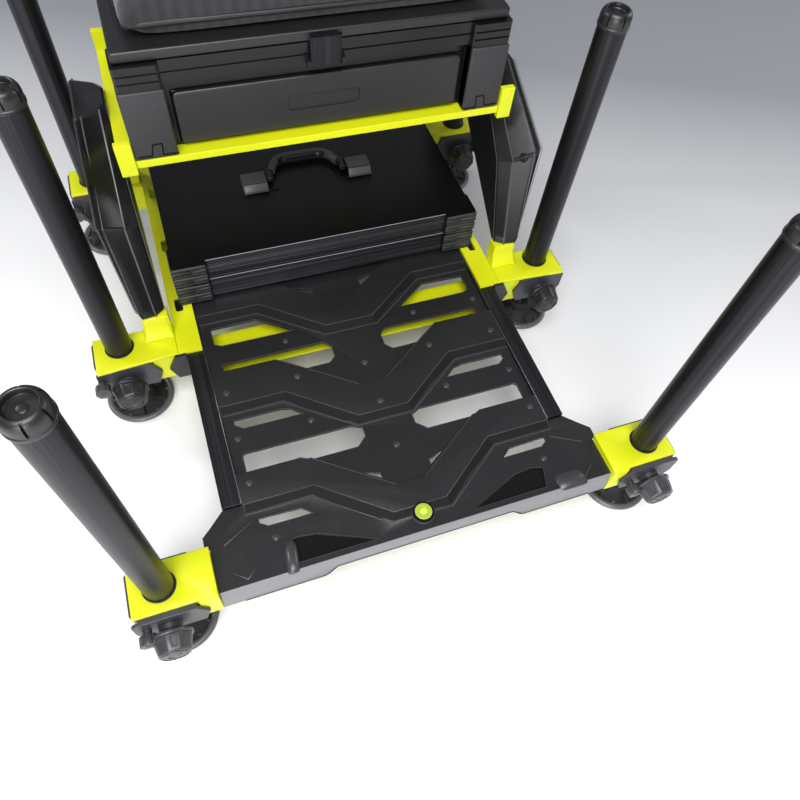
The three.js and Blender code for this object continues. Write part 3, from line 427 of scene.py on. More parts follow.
def spun(turn, axis="Z"):
    return Matrix.Rotation(turn, 4, axis)


def mirrored(sign, axis=(1, 0, 0)):
    return Matrix.Scale(sign, 4, Vector(axis))


def relocated(piece, matrix):
    piece.matrix_world = matrix
    seated(piece)
    return piece


def removed(*pieces):
    for piece in pieces:
        bpy.data.objects.remove(piece)


def turned(name, profile, around=64):
    # (radius, height) steps turned about Z: a disc extruded and resized from step to step
    radius, height = profile[0]
    piece = start(name, "circle", vertices=around, radius=radius * mm, fill_type="NGON",
                  location=(0, 0, height * mm))
    seated(piece)
    bpy.ops.object.mode_set(mode="EDIT")
    bpy.ops.mesh.select_all(action="SELECT")
    for nextRadius, nextHeight in profile[1:]:
        ratio = nextRadius / radius
        bpy.ops.mesh.extrude_region_move(TRANSFORM_OT_translate={"value": (0, 0, (nextHeight - height) * mm)})
        bpy.ops.transform.resize(value=(ratio, ratio, 1), center_override=(0, 0, nextHeight * mm))
        radius, height = nextRadius, nextHeight
    bpy.ops.object.mode_set(mode="OBJECT")
    outward(piece)
    smooth(piece, 32)
    return piece


def cutBy(piece, cutter):
    applied(piece, "BOOLEAN", object=cutter, operation="DIFFERENCE", solver="EXACT")
    removed(cutter)


def joined(pieces):
    bpy.ops.object.select_all(action="DESELECT")
    for piece in pieces:
        piece.select_set(True)
    bpy.context.view_layer.objects.active = pieces[0]
    bpy.ops.object.join()
    return pieces[0]


def block(name, low, high, edge=0.0, segments=2):
    # a box from its low to its high corner, its edges rounded
    size = [(b - a) * mm for a, b in zip(low, high)]
    place = [(a + b) / 2 * mm for a, b in zip(low, high)]
    piece = start(name, "cube", size=1, location=place)
    piece.scale = size
    seated(piece)
    if edge:
        applied(piece, "BEVEL", width=edge * mm, segments=segments)
        smooth(piece)
    return piece


def shaped(name, rings):
    # rings of corners one above the other, joined to one closed form: a disc extruded and drawn to shape
    piece = start(name, "circle", vertices=len(rings[0]), radius=mm, fill_type="NGON", location=(0, 0, 0))
    bpy.ops.object.mode_set(mode="EDIT")
    bpy.ops.mesh.select_all(action="SELECT")
    for _ in rings[1:]:
        bpy.ops.mesh.extrude_region_move(TRANSFORM_OT_translate={"value": (0, 0, mm)})
    bpy.ops.object.mode_set(mode="OBJECT")
    count = len(rings[0])
    for vertex in piece.data.vertices:
        corner = round(math.atan2(-vertex.co.x, vertex.co.y) / (2 * math.pi / count)) % count
        vertex.co = Vector(rings[round(vertex.co.z / mm)][corner]) * mm
    outward(piece)
    return piece


def strip(name, path, width, height, edge=0.35):
    # a low bead along a path, one bar for each stretch
    bars = []
    for a, b in zip(path, path[1:]):
        a, b = Vector(a), Vector(b)
        along = b - a
        bar = start(name, "cube", size=1, location=(a + b) / 2 * mm,
                    rotation=(0, -math.asin(along.z / along.length), math.atan2(along.y, along.x)))
        bar.scale = ((along.length + width * 0.5) * mm, width * mm, height * mm)
        seated(bar)
        bars.append(bar)
    piece = joined(bars)
    applied(piece, "BEVEL", width=edge * mm, segments=2)
    smooth(piece)
    return piece


def swept(name, radius, path, around):
    # a round bar along a flat path: its end disc is extruded and turned from point to point
    points = [Vector(point) * mm for point in path]
    headings = [(b - a).normalized() for a, b in zip(points, points[1:])]
    turns = [math.atan2(h.y, h.x) for h in headings]
    facing = turns[0]
    piece = start(name, "circle", vertices=around, radius=radius * mm, fill_type="NGON", location=points[0],
                  rotation=(math.pi / 2, 0, facing + math.pi / 2))
    seated(piece)
    bpy.ops.object.mode_set(mode="EDIT")
    bpy.ops.mesh.select_all(action="SELECT")
    for i in range(1, len(points)):
        bpy.ops.mesh.extrude_region_move(TRANSFORM_OT_translate={"value": points[i] - points[i - 1]})
        if i < len(turns):
            nextFacing = (turns[i - 1] + turns[i]) / 2
            bpy.ops.transform.rotate(value=-(nextFacing - facing), orient_axis="Z", center_override=points[i])
            facing = nextFacing
    bpy.ops.object.mode_set(mode="OBJECT")
    outward(piece)
    smooth(piece, 50)
    return piece


def nodeCopy(node, name, clear=True):
    # a node's mesh as a piece of its own, its loose triangles merged, in edit mode with all of it selected
    piece = bpy.data.objects.new(name, nodes[node].data.copy())
    bpy.context.scene.collection.objects.link(piece)
    pick(piece)
    if clear:
        bpy.ops.mesh.customdata_custom_splitnormals_clear()
    bpy.ops.object.mode_set(mode="EDIT")
    bpy.ops.mesh.select_all(action="SELECT")
    bpy.ops.mesh.remove_doubles(threshold=2e-5)
    return piece


pierced = {"footplate", "side_rail_right", "side_rail_left", "upper_frame", "case_lid", "case_base", "drawer_unit",
           "seat_tray", "drawer", "runner_right", "runner_left"}
edges = {"block": 1.0, "leg_clamp": 0.8, "side_rail": 0.6, "rail_cap": 0.6, "runner": 0.7, "crossbar": 0.6,
         "footplate": 0.7, "upper_frame": 1.2, "case": 0.7, "drawer": 0.8, "seat_lid": 0.8, "seat_latch": 0.5,
         "case_handle": 1.2}
rounding = {"segments": 2, "sharp": 28, "flat": 0.6}


def broken(node, edge, material=None):
    # a copy of a node with its edges rounded; flats with holes in them stay in triangles
    piece = nodeCopy(node, node + "_finished")
    if node not in pierced:
        bpy.ops.mesh.dissolve_limited(angle_limit=math.radians(rounding["flat"]))
    bpy.ops.object.mode_set(mode="OBJECT")
    applied(piece, "BEVEL", width=edge * mm, segments=rounding["segments"], limit_method="ANGLE",
            angle_limit=math.radians(rounding["sharp"]), use_clamp_overlap=node in pierced,
            miter_outer="MITER_ARC")
    smooth(piece)
    applied(piece, "WEIGHTED_NORMAL", keep_sharp=True)
    slot = slotOf[node]
    return settle(piece, bodyOf[node], material or finishes[slot], (node,))


for row in rows:
    for side in sides:
        broken(f"{row}_block_{side}", edges["block"])
        broken(f"{row}_leg_clamp_{side}", edges["leg_clamp"], material=clampSheenNylon)
for side in sides:
    broken(f"side_rail_{side}", edges["side_rail"])
    broken(f"rail_cap_{side}", edges["rail_cap"])
    broken(f"runner_{side}", edges["runner"], material=tubeAlongY)
for node in ("mid_crossbar", "rear_crossbar", "front_crossbar"):
    broken(node, edges["crossbar"])
for node in ("upper_frame", "footplate"):
    broken(node, edges[node])
for node in ("case_base", "case_lid", "drawer_unit", "seat_tray"):
    broken(node, edges["case"])
for node in ("case_handle", "drawer", "seat_lid", "seat_latch"):
    broken(node, edges[node])
print("broken edges")


# legs with their caps, feet and knobs

legPlaces = {(row, side): (sign * 326.5, {"front": -347.5, "mid": rowShift, "rear": 369.5}[row])
             for row in rows for side, sign in sides.items()}
tube = {"radius": 18, "low": 46, "high": 506, "chamfer": 1.4, "neck": 7, "ball": 13, "ballHeight": 20, "steps": 8}
cap = {"profile": [(15.6, 494), (15.8, 506.2), (18.9, 506.3), (19.2, 507.2), (19.2, 509.6), (18.6, 510.2),
                   (18.6, 517), (18.3, 519.6), (17.5, 522.2), (16.2, 524.3), (14.6, 525.6), (13.2, 525.9),
                   (12.4, 525.5), (12.0, 524.6), (11.8, 521), (11.2, 520.2), (4.6, 520), (4.2, 520.6), (3.4, 521)],
       "slits": 6, "slitWidth": 2.0, "slitLow": 511.5, "slitHigh": 528, "slitFrom": 14.6, "slitTo": 21,
       "slitEdge": 0.25}


def legTube():
    neck = math.acos(tube["neck"] / tube["ball"])
    profile = [(0.6, tube["ballHeight"] - tube["ball"] + 0.02)]
    for i in range(1, tube["steps"] + 1):
        angle = -math.pi / 2 + i * (neck + math.pi / 2) / tube["steps"]
        profile.append((tube["ball"] * math.cos(angle), tube["ballHeight"] + tube["ball"] * math.sin(angle)))
    profile += [(tube["neck"], tube["low"]), (tube["radius"] - tube["chamfer"], tube["low"]),
                (tube["radius"], tube["low"] + tube["chamfer"]), (tube["radius"], tube["high"]),
                (tube["radius"] - 1, tube["high"])]
    return turned("leg_tube", profile)


def legCap():
    piece = turned("leg_cap", cap["profile"])
    cutters = []
    for i in range(cap["slits"]):
        cutter = block("slit", (cap["slitFrom"], -cap["slitWidth"] / 2, cap["slitLow"]),
                       (cap["slitTo"], cap["slitWidth"] / 2, cap["slitHigh"]))
        cutters.append(copied(cutter, "slit", spun(2 * math.pi * (i + 0.5) / cap["slits"])))
        removed(cutter)
    cutBy(piece, joined(cutters))
    applied(piece, "BEVEL", width=cap["slitEdge"] * mm, segments=1, limit_method="ANGLE",
            angle_limit=math.radians(50))
    smooth(piece)
    return piece


footShape = {
    "profile": [(46, 0.05), (47.6, 0.6), (48, 1.6), (48, 3), (40, 3.2), (30, 4.2), (25.4, 6), (23, 9.4), (21.8, 13),
                (20.2, 15), (19.6, 24), (20.4, 25), (20.4, 27.6), (19.2, 29), (17.6, 29.8), (15.8, 29.8),
                (14.4, 29.2), (13.8, 28)],
    "cup": 13.7, "ribs": 6, "rib": ((20, -1.5, 2), (42, 1.5, 9)),
    "ears": (25, 205), "ear": ((20, -6, 5), (37, 6, 19)), "earRound": 2.2,
    "bolt": [(4.2, 18.5), (4.2, 21.4), (3.6, 22), (2.4, 22), (2.2, 20.4)], "boltAt": 29,
    "rim": (45.2, 4.8), "rimSquash": 0.82, "ties": 12, "tie": ((37, -2, 2), (44, 2, 5.4)), "round": 0.8}


def swivelFoot():
    piece = turned("foot", footShape["profile"])
    cup = start("cup", "uv_sphere", segments=48, ring_count=24, radius=footShape["cup"] * mm,
                location=(0, 0, tube["ballHeight"] * mm))
    seated(cup)
    cutBy(piece, cup)
    parts = [piece]
    for i in range(footShape["ribs"]):
        rib = block("rib", *footShape["rib"], footShape["round"])
        parts.append(relocated(rib, spun(2 * math.pi * (i + 0.5) / footShape["ribs"])))
    for degrees in footShape["ears"]:  # the two ears of the ball's clamp, with its bolt
        turn = spun(math.radians(degrees))
        parts.append(relocated(block("ear", *footShape["ear"], footShape["earRound"], 3), turn))
        parts.append(relocated(turned("bolt", footShape["bolt"], 24), turn @ moved(footShape["boltAt"], 0, 0)))
    piece = joined(parts)
    smooth(piece)
    return piece


def footRim():
    # the thick soft tread ring, with small ties to the dish
    major, minor = footShape["rim"]
    ring = start("rim", "torus", major_segments=96, minor_segments=20, major_radius=major * mm,
                 minor_radius=minor * mm)
    ring.scale.z = footShape["rimSquash"]
    ring.location.z = minor * footShape["rimSquash"] * mm
    seated(ring)
    ties = []
    for i in range(footShape["ties"]):
        tie = block("tie", *footShape["tie"], footShape["round"])
        ties.append(relocated(tie, spun(2 * math.pi * i / footShape["ties"])))
    piece = joined([ring, *ties])
    smooth(piece, 40)
    return piece


knob = {
    "seat": (0, -44, 91), "flats": 8, "across": 22.4, "low": 7, "length": 28.5, "taper": 0.82, "round": 2.6,
    "window": 2.4, "frame": 0.7, "sunk": 0.9,
    "neck": [(11, -1), (11, 4.5), (9, 4.6)],
    "flange": [(16, 3.4), (23.2, 3.8), (24.4, 4.8), (24.4, 7.2), (23.4, 8.2), (20, 8.4)],
    "face": [(16.2, 27), (16.2, 29), (15.4, 29.6), (14.6, 29.4), (14.2, 28.8), (12.8, 28.8), (12.2, 29.3), (9.4, 29.6),
             (8.8, 29.1), (8.2, 29.4), (4, 29.9), (0.5, 30)],
    "pins": 5, "pinRing": 13.6, "pinRadius": 1.2, "pinHeight": 29, "pinStep": 24,
    "arc": [(-7.6, 2.6, 0), (-4.6, -0.6, 0), (0, -1.8, 0), (4.6, -0.6, 0), (7.6, 2.6, 0)], "arcHeight": 29.6,
    "arcRadius": 0.8, "stemRadius": 4, "stem": 26, "stemSunk": 0.2}
lock = {"radius": 10.2, "low": 3, "length": 15, "lobes": 7, "lobe": 2.2, "lobeOut": 1.2, "round": 0.7,
        "neck": [(5.4, -6), (5.4, 2.5), (4, 2.6)],
        "face": [(4.6, 14.5), (4.6, 15.4), (3.8, 15.8), (2, 15.8), (1.8, 15.2)]}
lockPlaces = {("front", "left"): (-25, -41, 99), ("front", "right"): (-27, -41, 86), ("mid", "left"): (-34, -41, 102),
              ("rear", "left"): (-34, -41, 102), ("rear", "right"): (34, -41, 102)}  # none on the mid right clamp


def clampKnob():
    # made along Z from its seat: neck, flange ring, barrel with sunk facets, end face with rings and pins
    radius = knob["across"] / math.cos(math.pi / knob["flats"])
    low, high = knob["low"], knob["length"]
    grip = start("knob", "cylinder", vertices=knob["flats"], radius=radius * mm, depth=(high - low) * mm,
                 location=(0, 0, (low + high) / 2 * mm))
    seated(grip)
    facesOf(grip, lambda polygon: polygon.normal.z > 0.9)
    bpy.ops.transform.resize(value=(knob["taper"], knob["taper"], 1), center_override=(0, 0, high * mm))
    bpy.ops.object.mode_set(mode="OBJECT")
    applied(grip, "BEVEL", width=knob["round"] * mm, segments=4, limit_method="ANGLE", angle_limit=math.radians(30),
            use_clamp_overlap=True)
    facesOf(grip, lambda polygon: abs(polygon.normal.z) < 0.4 and polygon.area > 120 * mm * mm)
    bpy.ops.mesh.inset(thickness=knob["window"] * mm, use_individual=True)
    bpy.ops.mesh.inset(thickness=knob["frame"] * mm, depth=-knob["sunk"] * mm, use_individual=True)
    bpy.ops.object.mode_set(mode="OBJECT")
    parts = [turned("neck", knob["neck"]), turned("flange", knob["flange"]), turned("face", knob["face"])]
    for i in range(knob["pins"]):
        turn = math.radians(270 + knob["pinStep"] * (i - (knob["pins"] - 1) / 2))
        place = Vector((knob["pinRing"] * math.cos(turn), knob["pinRing"] * math.sin(turn), knob["pinHeight"])) * mm
        pin = start("pin", "uv_sphere", segments=16, ring_count=8, radius=knob["pinRadius"] * mm, location=place)
        seated(pin)
        parts.append(pin)
    parts.append(relocated(swept("arc", knob["arcRadius"], knob["arc"], 10), moved(0, 0, knob["arcHeight"])))
    stem = start("stem", "cylinder", vertices=32, radius=knob["stemRadius"] * mm, depth=knob["stem"] * mm,
                 location=(0, 0, -(knob["stem"] / 2 - knob["stemSunk"]) * mm))
    seated(stem)
    piece = joined([grip, *parts, stem])
    smooth(piece, 24)
    return piece


def smallKnob():
    # the little scalloped lock knob beside the main one
    piece = start("small_knob", "cylinder", vertices=48, radius=lock["radius"] * mm,
                  depth=(lock["length"] - lock["low"]) * mm, location=(0, 0, (lock["length"] + lock["low"]) / 2 * mm))
    seated(piece)
    scallops = []
    reach = lock["radius"] + lock["lobeOut"]
    for i in range(lock["lobes"]):
        turn = 2 * math.pi * i / lock["lobes"]
        scallop = start("scallop", "cylinder", vertices=16, radius=lock["lobe"] * mm, depth=30 * mm,
                        location=(reach * math.cos(turn) * mm, reach * math.sin(turn) * mm, 8 * mm))
        seated(scallop)
        scallops.append(scallop)
    cutBy(piece, joined(scallops))
    applied(piece, "BEVEL", width=lock["round"] * mm, segments=2, limit_method="ANGLE", angle_limit=math.radians(60))
    piece = joined([piece, turned("neck", lock["neck"], 32), turned("face", lock["face"], 32)])
    smooth(piece, 34)
    return piece


# painted shade: a thin black ring where each tube enters its deck, standing for the dark gap there
shadeRing = {"radius": 18.9, "round": 1.1, "height": 126.4}
legPieces = {"leg": legTube(), "leg_cap": legCap(), "foot": swivelFoot(), "clamp_knob": clampKnob()}
rimPiece, smallPiece = footRim(), smallKnob()
shadeRingPiece = start("shadeRing", "torus", major_segments=72, minor_segments=12, major_radius=shadeRing["radius"] * mm,
                  minor_radius=shadeRing["round"] * mm, location=(0, 0, shadeRing["height"] * mm))
seated(shadeRingPiece)
toFront = spun(math.radians(90), "X")  # lays what was made along Z with its top towards the front
for (row, side), (x, y) in legPlaces.items():
    here = moved(x, y, 0)
    for kind, piece in legPieces.items():
        node = f"{row}_{kind}_{side}"
        place, finish = here, finishes[slotOf[node]]
        if kind == "clamp_knob":  # each knob is left at a turn of its own
            place = here @ moved(*knob["seat"]) @ toFront @ spun(math.radians(11 + 7 * (x > 0) + 13 * (y > 0)))
            # painted light: the front row's knobs, which face the front lamp, are drawn in the lighter nylon
            finish = highlightNylon if row == "front" else finish
        settle(copied(piece, node + "_turned", place), bodyOf[node], finish, (node,))
    settle(copied(rimPiece, f"{row}_foot_rim_{side}", here), bodyOf[f"{row}_foot_{side}"], rimHighlightRubber)
    if (row, side) in lockPlaces:
        settle(copied(smallPiece, f"{row}_lock_knob_{side}", here @ moved(*lockPlaces[row, side]) @ toFront),
               bodyOf[f"{row}_leg_clamp_{side}"], highlightNylon)
    settle(copied(shadeRingPiece, f"{row}_bushing_{side}", here), bodyOf[f"{row}_block_{side}"], finishes["foot_rubber"])
removed(*legPieces.values(), rimPiece, smallPiece, shadeRingPiece)
print("legs, caps, feet and knobs")


# deck plates of the corner blocks, and the side wings

deck = {"low": 121.5, "top": 126.5, "edge": 0.9, "bore": 18.35,
        "front": ((-62.2, -25), (-57, -30.3), (34.8, -30.3), (34.8, 30.3), (-62.2, 30.3)),
        "mid": ((-76.2, -32.8), (34.8, -39.3), (34.8, 21.3), (-76.2, 21.3)),
        "rear": ((-76.2, -30.3), (34.8, -30.3), (34.8, 30.3), (-76.2, 30.3))}
for row in rows:
    plateTop = shaped("deck_plate", [[(x, y, z) for x, y in deck[row]] for z in (deck["low"], deck["top"])])
    bore = start("bore", "cylinder", vertices=64, radius=deck["bore"] * mm, depth=30 * mm,
                 location=(0, 0, (deck["low"] + deck["top"]) / 2 * mm))
    seated(bore)
    cutBy(plateTop, bore)
    applied(plateTop, "BEVEL", width=deck["edge"] * mm, segments=3, limit_method="ANGLE",
            angle_limit=math.radians(40))
    smooth(plateTop)
    for side, sign in sides.items():
        x, y = legPlaces[row, side]
        settle(copied(plateTop, f"{row}_deck_plate_{side}", moved(x, y, 0) @ mirrored(sign)),
               bodyOf[f"{row}_block_{side}"], finishes["lime_paint"])
    removed(plateTop)

# shares: each ring of the front half, from foot to top, as shares of its width, reach and height
wing = {"inner": 252.6, "width": 46, "reach": 180.5, "low": 126, "height": 262, "foot": 164.3, "chamfer": 2.6,
        "round": 0.8, "steps": 3, "screwAt": (281, 302),
        "screw": [(6.6, -1), (6.6, 0.5), (6.1, 0.9), (5.4, 0.9), (5, 0.4), (4.8, -0.6), (4.4, -0.2), (4.2, 1.2),
                  (3.2, 1.5), (2.4, 1.4), (2.2, -0.5)],
        "creases": ((1, 0.8), (2, 2.2), (3, 1.8), (4, 0.8)), "shares": (
            ((0, 0.15, 0), (0, 0.09, 0), (0.28, 0.04, 0), (0.67, 0.03, 0), (0.73, 0.07, 0), (0.73, 0.15, 0)),
            ((0, 0.24, 0.19), (0, 0.12, 0.19), (0.3, 0.06, 0.19), (0.72, 0.03, 0.19), (0.83, 0.08, 0.19),
             (0.83, 0.24, 0.19)),
            ((0, 1, 0.59), (0, 0.34, 0.61), (0.37, 0.25, 0.64), (0.87, 0.17, 0.71), (1, 0.14, 0.75), (1, 1, 0.59)),
            ((0, 1, 1), (0, 0.9, 1), (0.2, 0.84, 1), (0.67, 0.79, 1), (0.85, 0.78, 1), (0.85, 1, 1)))}


def wingRings():
    return [[Vector((wing["inner"] + across * wing["width"], rowShift + back * wing["reach"],
                     max(wing["low"] + up * wing["height"], wing["foot"]))) for across, back, up in ring]
            for ring in wing["shares"]]


def sideWing():
    # the front half lofted from foot to top, mirrored to the back half, with soft edges
    piece = shaped("wing", wingRings())
    middle = (rowShift + wing["reach"]) * mm
    facesOf(piece, lambda polygon: polygon.normal.y > 0.9 and abs(polygon.center.y - middle) < mm)
    bpy.ops.mesh.delete(type="FACE")
    bpy.ops.object.mode_set(mode="OBJECT")
    centre = bpy.data.objects.new("centre", None)
    bpy.context.scene.collection.objects.link(centre)
    centre.location.y = middle
    bpy.context.view_layer.update()
    applied(piece, "MIRROR", use_axis=(False, True, False), mirror_object=centre, merge_threshold=1e-4)
    removed(centre)
    outward(piece)
    applied(piece, "BEVEL", width=wing["chamfer"] * mm, segments=1, limit_method="ANGLE",
            angle_limit=math.radians(9), use_clamp_overlap=True)
    applied(piece, "BEVEL", width=wing["round"] * mm, segments=wing["steps"], limit_method="ANGLE",
            angle_limit=math.radians(4), use_clamp_overlap=True)
    smooth(piece, 30)
    applied(piece, "WEIGHTED_NORMAL", keep_sharp=True)
    return piece


def wingLines():
    # the wing's creases as lighter strips of painted highlight: four up its front and one across its kink
    points = wingRings()
    points[0] = [corner + Vector((0, 0, 2)) for corner in points[0]]
    lines = [strip("wing_line", [ring[corner] for ring in points], width, 0.9, 0.25)
             for corner, width in wing["creases"]]
    lines.append(strip("wing_kink", points[2][2:4], 2.0, 0.7, 0.25))
    return joined(lines)


def wingScrew(piece):
    # a socket screw sunk in the front face
    tree = BVHTree.FromPolygons([v.co for v in piece.data.vertices], [p.vertices for p in piece.data.polygons])
    x, z = wing["screwAt"]
    place, normal = tree.ray_cast(Vector((x, -200, z)) * mm, Vector((0, 1, 0)))[:2]
    screw = turned("wing_screw", wing["screw"], 36)
    return relocated(screw, Matrix.Translation(place) @ normal.to_track_quat("Z", "Y").to_matrix().to_4x4())


wingPiece, linePiece = sideWing(), wingLines()
settle(wingScrew(wingPiece), bodyOf["side_arch_right"], finishes["black_anodised"])
for side, sign in sides.items():
    node = f"side_arch_{side}"
    settle(copied(wingPiece, f"wing_{side}", mirrored(sign)), bodyOf[node], wingNylon, (node,))
for side, sign in sides.items():
    settle(copied(linePiece, f"wing_lines_{side}", mirrored(sign)), bodyOf[f"side_arch_{side}"], paleHighlightNylon)
removed(wingPiece, linePiece)

post = {"round": 3, "rings": (  # height, inner, outer, front, back
    (126.2, 248.6, 292.2, -4.6, 21), (131, 250.6, 289.6, -2, 21.8), (139, 251.8, 287.6, 2, 24.4),
    (150, 252.2, 286.8, 5, 26.8), (164.4, 252.2, 286.8, 5.4, 26.8))}


def flaredPost():
    piece = shaped("post", [[(inner, front + rowShift, z), (outer, front + rowShift, z), (outer, rear + rowShift, z),
                             (inner, rear + rowShift, z)] for z, inner, outer, front, rear in post["rings"]])
    applied(piece, "BEVEL", width=post["round"] * mm, segments=4, limit_method="ANGLE", angle_limit=math.radians(50),
            use_clamp_overlap=True)
    smooth(piece, 60)
    return piece


postPiece = flaredPost()
toRear = moved(0, 2 * (rowShift + wing["reach"]), 0) @ mirrored(-1, (0, 1, 0))
for side, sign in sides.items():
    for row, turn in (("mid", mirrored(sign)), ("rear", mirrored(sign) @ toRear)):
        settle(copied(postPiece, f"{row}_post_{side}", turn), bodyOf[f"{row}_block_{side}"], finishes["lime_paint"])
removed(postPiece)
print("deck plates and wings")


# footplate: creases, rims, screws, folds and its front strip, drawn light as a painted reflection

plate = {
    "sheet": 116, "band": 121, "half": 214, "rears": (86, -77, -240), "arms": (57, 57, 43), "drop": 66, "run": 12.9,
    "valley": 36, "shoulder": 122, "spread": (6, 9), "spreadRun": 18, "crease": (1.7, 1.1),
    "slopeHalf": 212, "slopeInset": 0.5, "rim": 0.75, "rimHeight": 115.5, "rimHalf": 213, "rimReach": (-372, 90),
    "screws": {-45: (-100, 100, 200), -114: (-200, -100, 0, 100, 200), -186: (-200, -100, 0, 100, 200),
               -256: (-200, 0, 200), -335: (-185, 185)},
    "screw": [(4.4, -0.5), (4.4, 0.25), (4.0, 0.5), (3.6, 0.5), (3.4, 0.2), (3.2, 0.25), (2.9, 1.1), (2.0, 1.5),
              (1.5, 1.55), (1.3, 0.7)],
    "lip": 1.0, "lipHalf": 238, "lipFront": -374.2, "lipTop": (1.1, 0.9, 0.3), "lipEdge": (1.3, 1.7, 0.4),
    "notch": ((-238, 81.4), (-137, 81.4), (-120, 95.4), (120, 95.4), (137, 81.4), (238, 81.4)),
    "humps": (  # back to front: place, centre, half width and height of each half disc
        ((-336, -169.5, 5, 0.5), (-344, -171, 8, 4.4), (-356, -172.6, 8.6, 6.4), (-367, -173.6, 8.6, 6.8),
         (-374, -174.4, 8, 5.2), (-378.4, -174.8, 6.5, 1.6)),
        ((-353, 205, 15, 0.4), (-358, 205.6, 20, 3), (-365, 206.4, 22, 5.4), (-371, 207, 22, 5.8),
         (-376, 207.4, 21, 3.6), (-379, 207.6, 19, 0.8))),
    "humpSteps": 12, "humpSunk": 0.6,
    "pocket": ((182, -347), (165, -342.8), (138, -346), (69, -374), (174, -374)), "pocketDeep": (2.6, 2.1),
    "folds": (((-247, -327), (-208, -306)), ((247, -327), (208, -306)), ((-243, -364), (-228, -376), (-218, -367)),
              ((243, -364), (228, -376), (218, -367))),
    "fold": (1.6, 1.2)}


def plateRims():
    # a thin bead along the sharp edges of the footplate's top, chosen by the place of their ends
    piece = nodeCopy("footplate", "plate_rims", clear=False)
    bpy.ops.mesh.select_mode(type="EDGE")
    bpy.ops.mesh.select_all(action="DESELECT")
    bpy.ops.mesh.edges_select_sharp(sharpness=math.radians(70))
    bpy.ops.object.mode_set(mode="OBJECT")
    front, back = plate["rimReach"]
    near = [v.co.z / mm > plate["rimHeight"] and abs(v.co.x / mm) < plate["rimHalf"]
            and front < v.co.y / mm < back for v in piece.data.vertices]
    wanted = [e.select and near[e.vertices[0]] and near[e.vertices[1]] for e in piece.data.edges]
    for polygon in piece.data.polygons:
        polygon.select = False
    for vertex in piece.data.vertices:
        vertex.select = False
    for edge, keep in zip(piece.data.edges, wanted):
        edge.select = keep
    bpy.ops.object.mode_set(mode="EDIT")
    bpy.ops.mesh.duplicate()
    bpy.ops.mesh.separate(type="SELECTED")
    bpy.ops.object.mode_set(mode="OBJECT")
    bead = next(other for other in bpy.context.selected_objects if other != piece)
    removed(piece)
    pick(bead)
    bead.name = "plate_rims"
    bpy.ops.object.convert(target="CURVE")
    bead.data.bevel_depth = plate["rim"] * mm
    bead.data.bevel_resolution = 1
    bead.data.use_fill_caps = True
    bpy.ops.object.convert(target="MESH")
    outward(bead)
    smooth(bead, 60)
    return bead


plateMesh = nodes["footplate"].data
plateTree = BVHTree.FromPolygons([v.co for v in plateMesh.vertices], [p.vertices for p in plateMesh.polygons])


def drop(x, y):
    # the footplate's height under a point, in millimetres
    place = plateTree.ray_cast(Vector((x, y + rowShift, 160)) * mm, Vector((0, 0, -1)))[0]
    return place.z / mm


def bandPath(rear, arm, run, level, half):
    # a line along a band, some way in front of the band's upper front edge
    front = rear - arm - run + rowShift
    grow = run / plate["spreadRun"]  # the bands widen down their slopes
    valley, shoulder = (plate[k] + grow * more for k, more in zip(("valley", "shoulder"), plate["spread"]))
    deep = front - plate["drop"]
    return [(-half, front, level), (-shoulder, front, level), (-valley, deep, level), (valley, deep, level),
            (shoulder, front, level), (half, front, level)]


def bandCreases():
    return joined([strip("band_crease", bandPath(rear, arm, run, level + 0.1, plate["half"]), *plate["crease"])
                   for rear, arm in zip(plate["rears"], plate["arms"])
                   for run, level in ((0, plate["band"]), (plate["run"], plate["sheet"]))])


def bandSlopes():
    # the bands' front slopes as thin dark skins of painted shade, from the crease above to the crease below
    skins = []
    inset, half = plate["slopeInset"], plate["slopeHalf"]
    for rear, arm in zip(plate["rears"], plate["arms"]):
        upper = bandPath(rear, arm, inset, plate["band"], half)
        lower = bandPath(rear, arm, plate["run"] - inset, plate["sheet"], half)
        skins.append(shaped("band_slope", [[(*a[:2], a[2] + 0.12), (*b[:2], b[2] + 0.12), (*b[:2], b[2] - 0.2),
                                            (*a[:2], a[2] - 0.2)] for a, b in zip(upper, lower)]))
    return joined(skins)


def plateScrew(x, y):
    screw = turned("plate_screw", plate["screw"], 24)
    return relocated(screw, moved(x, y + rowShift, drop(x, y)))


def lipStrip():
    # the lip's leaning front face, lifted off and given a thickness, to carry the lip's painted reflection
    piece = nodeCopy("footplate", "lip_strip", clear=False)
    bpy.ops.mesh.select_all(action="DESELECT")
    bpy.ops.object.mode_set(mode="OBJECT")
    for polygon in piece.data.polygons:
        polygon.select = not (polygon.normal.y < -0.9 and polygon.center.y < -0.37)
    bpy.ops.object.mode_set(mode="EDIT")
    bpy.ops.mesh.delete(type="FACE")
    bpy.ops.mesh.select_all(action="SELECT")
    bpy.ops.mesh.dissolve_limited(angle_limit=math.radians(1))
    bpy.ops.transform.translate(value=(0, -0.1 * mm, 0.3 * mm))
    bpy.ops.object.mode_set(mode="OBJECT")
    applied(piece, "SOLIDIFY", thickness=plate["lip"] * mm, offset=1)
    outward(piece)
    applied(piece, "BEVEL", width=0.3 * mm, segments=2, limit_method="ANGLE", angle_limit=math.radians(40))
    smooth(piece)
    return piece


def frontHump(stations):
    # a rounded roll in the plate's front edge: half discs of changing size, one behind the other
    rings = []
    for y, centre, half, height in stations:
        arc = [math.pi * i / plate["humpSteps"] for i in range(plate["humpSteps"] + 1)]
        sunk = plate["humpSunk"]
        rings.append([(centre + half * math.cos(t), y, plate["sheet"] - sunk + (height + sunk) * math.sin(t))
                      for t in arc])
    piece = shaped("front_hump", rings)
    applied(piece, "SUBSURF", levels=1)
    smooth(piece, 70)
    return piece


def pocketFloor(side):
    # the pocket beside the hump as a dark floor: painted shade
    return shaped("pocket_floor", [[(side * x, y + rowShift, plate["sheet"] - deep) for x, y in plate["pocket"]]
                                   for deep in plate["pocketDeep"]])


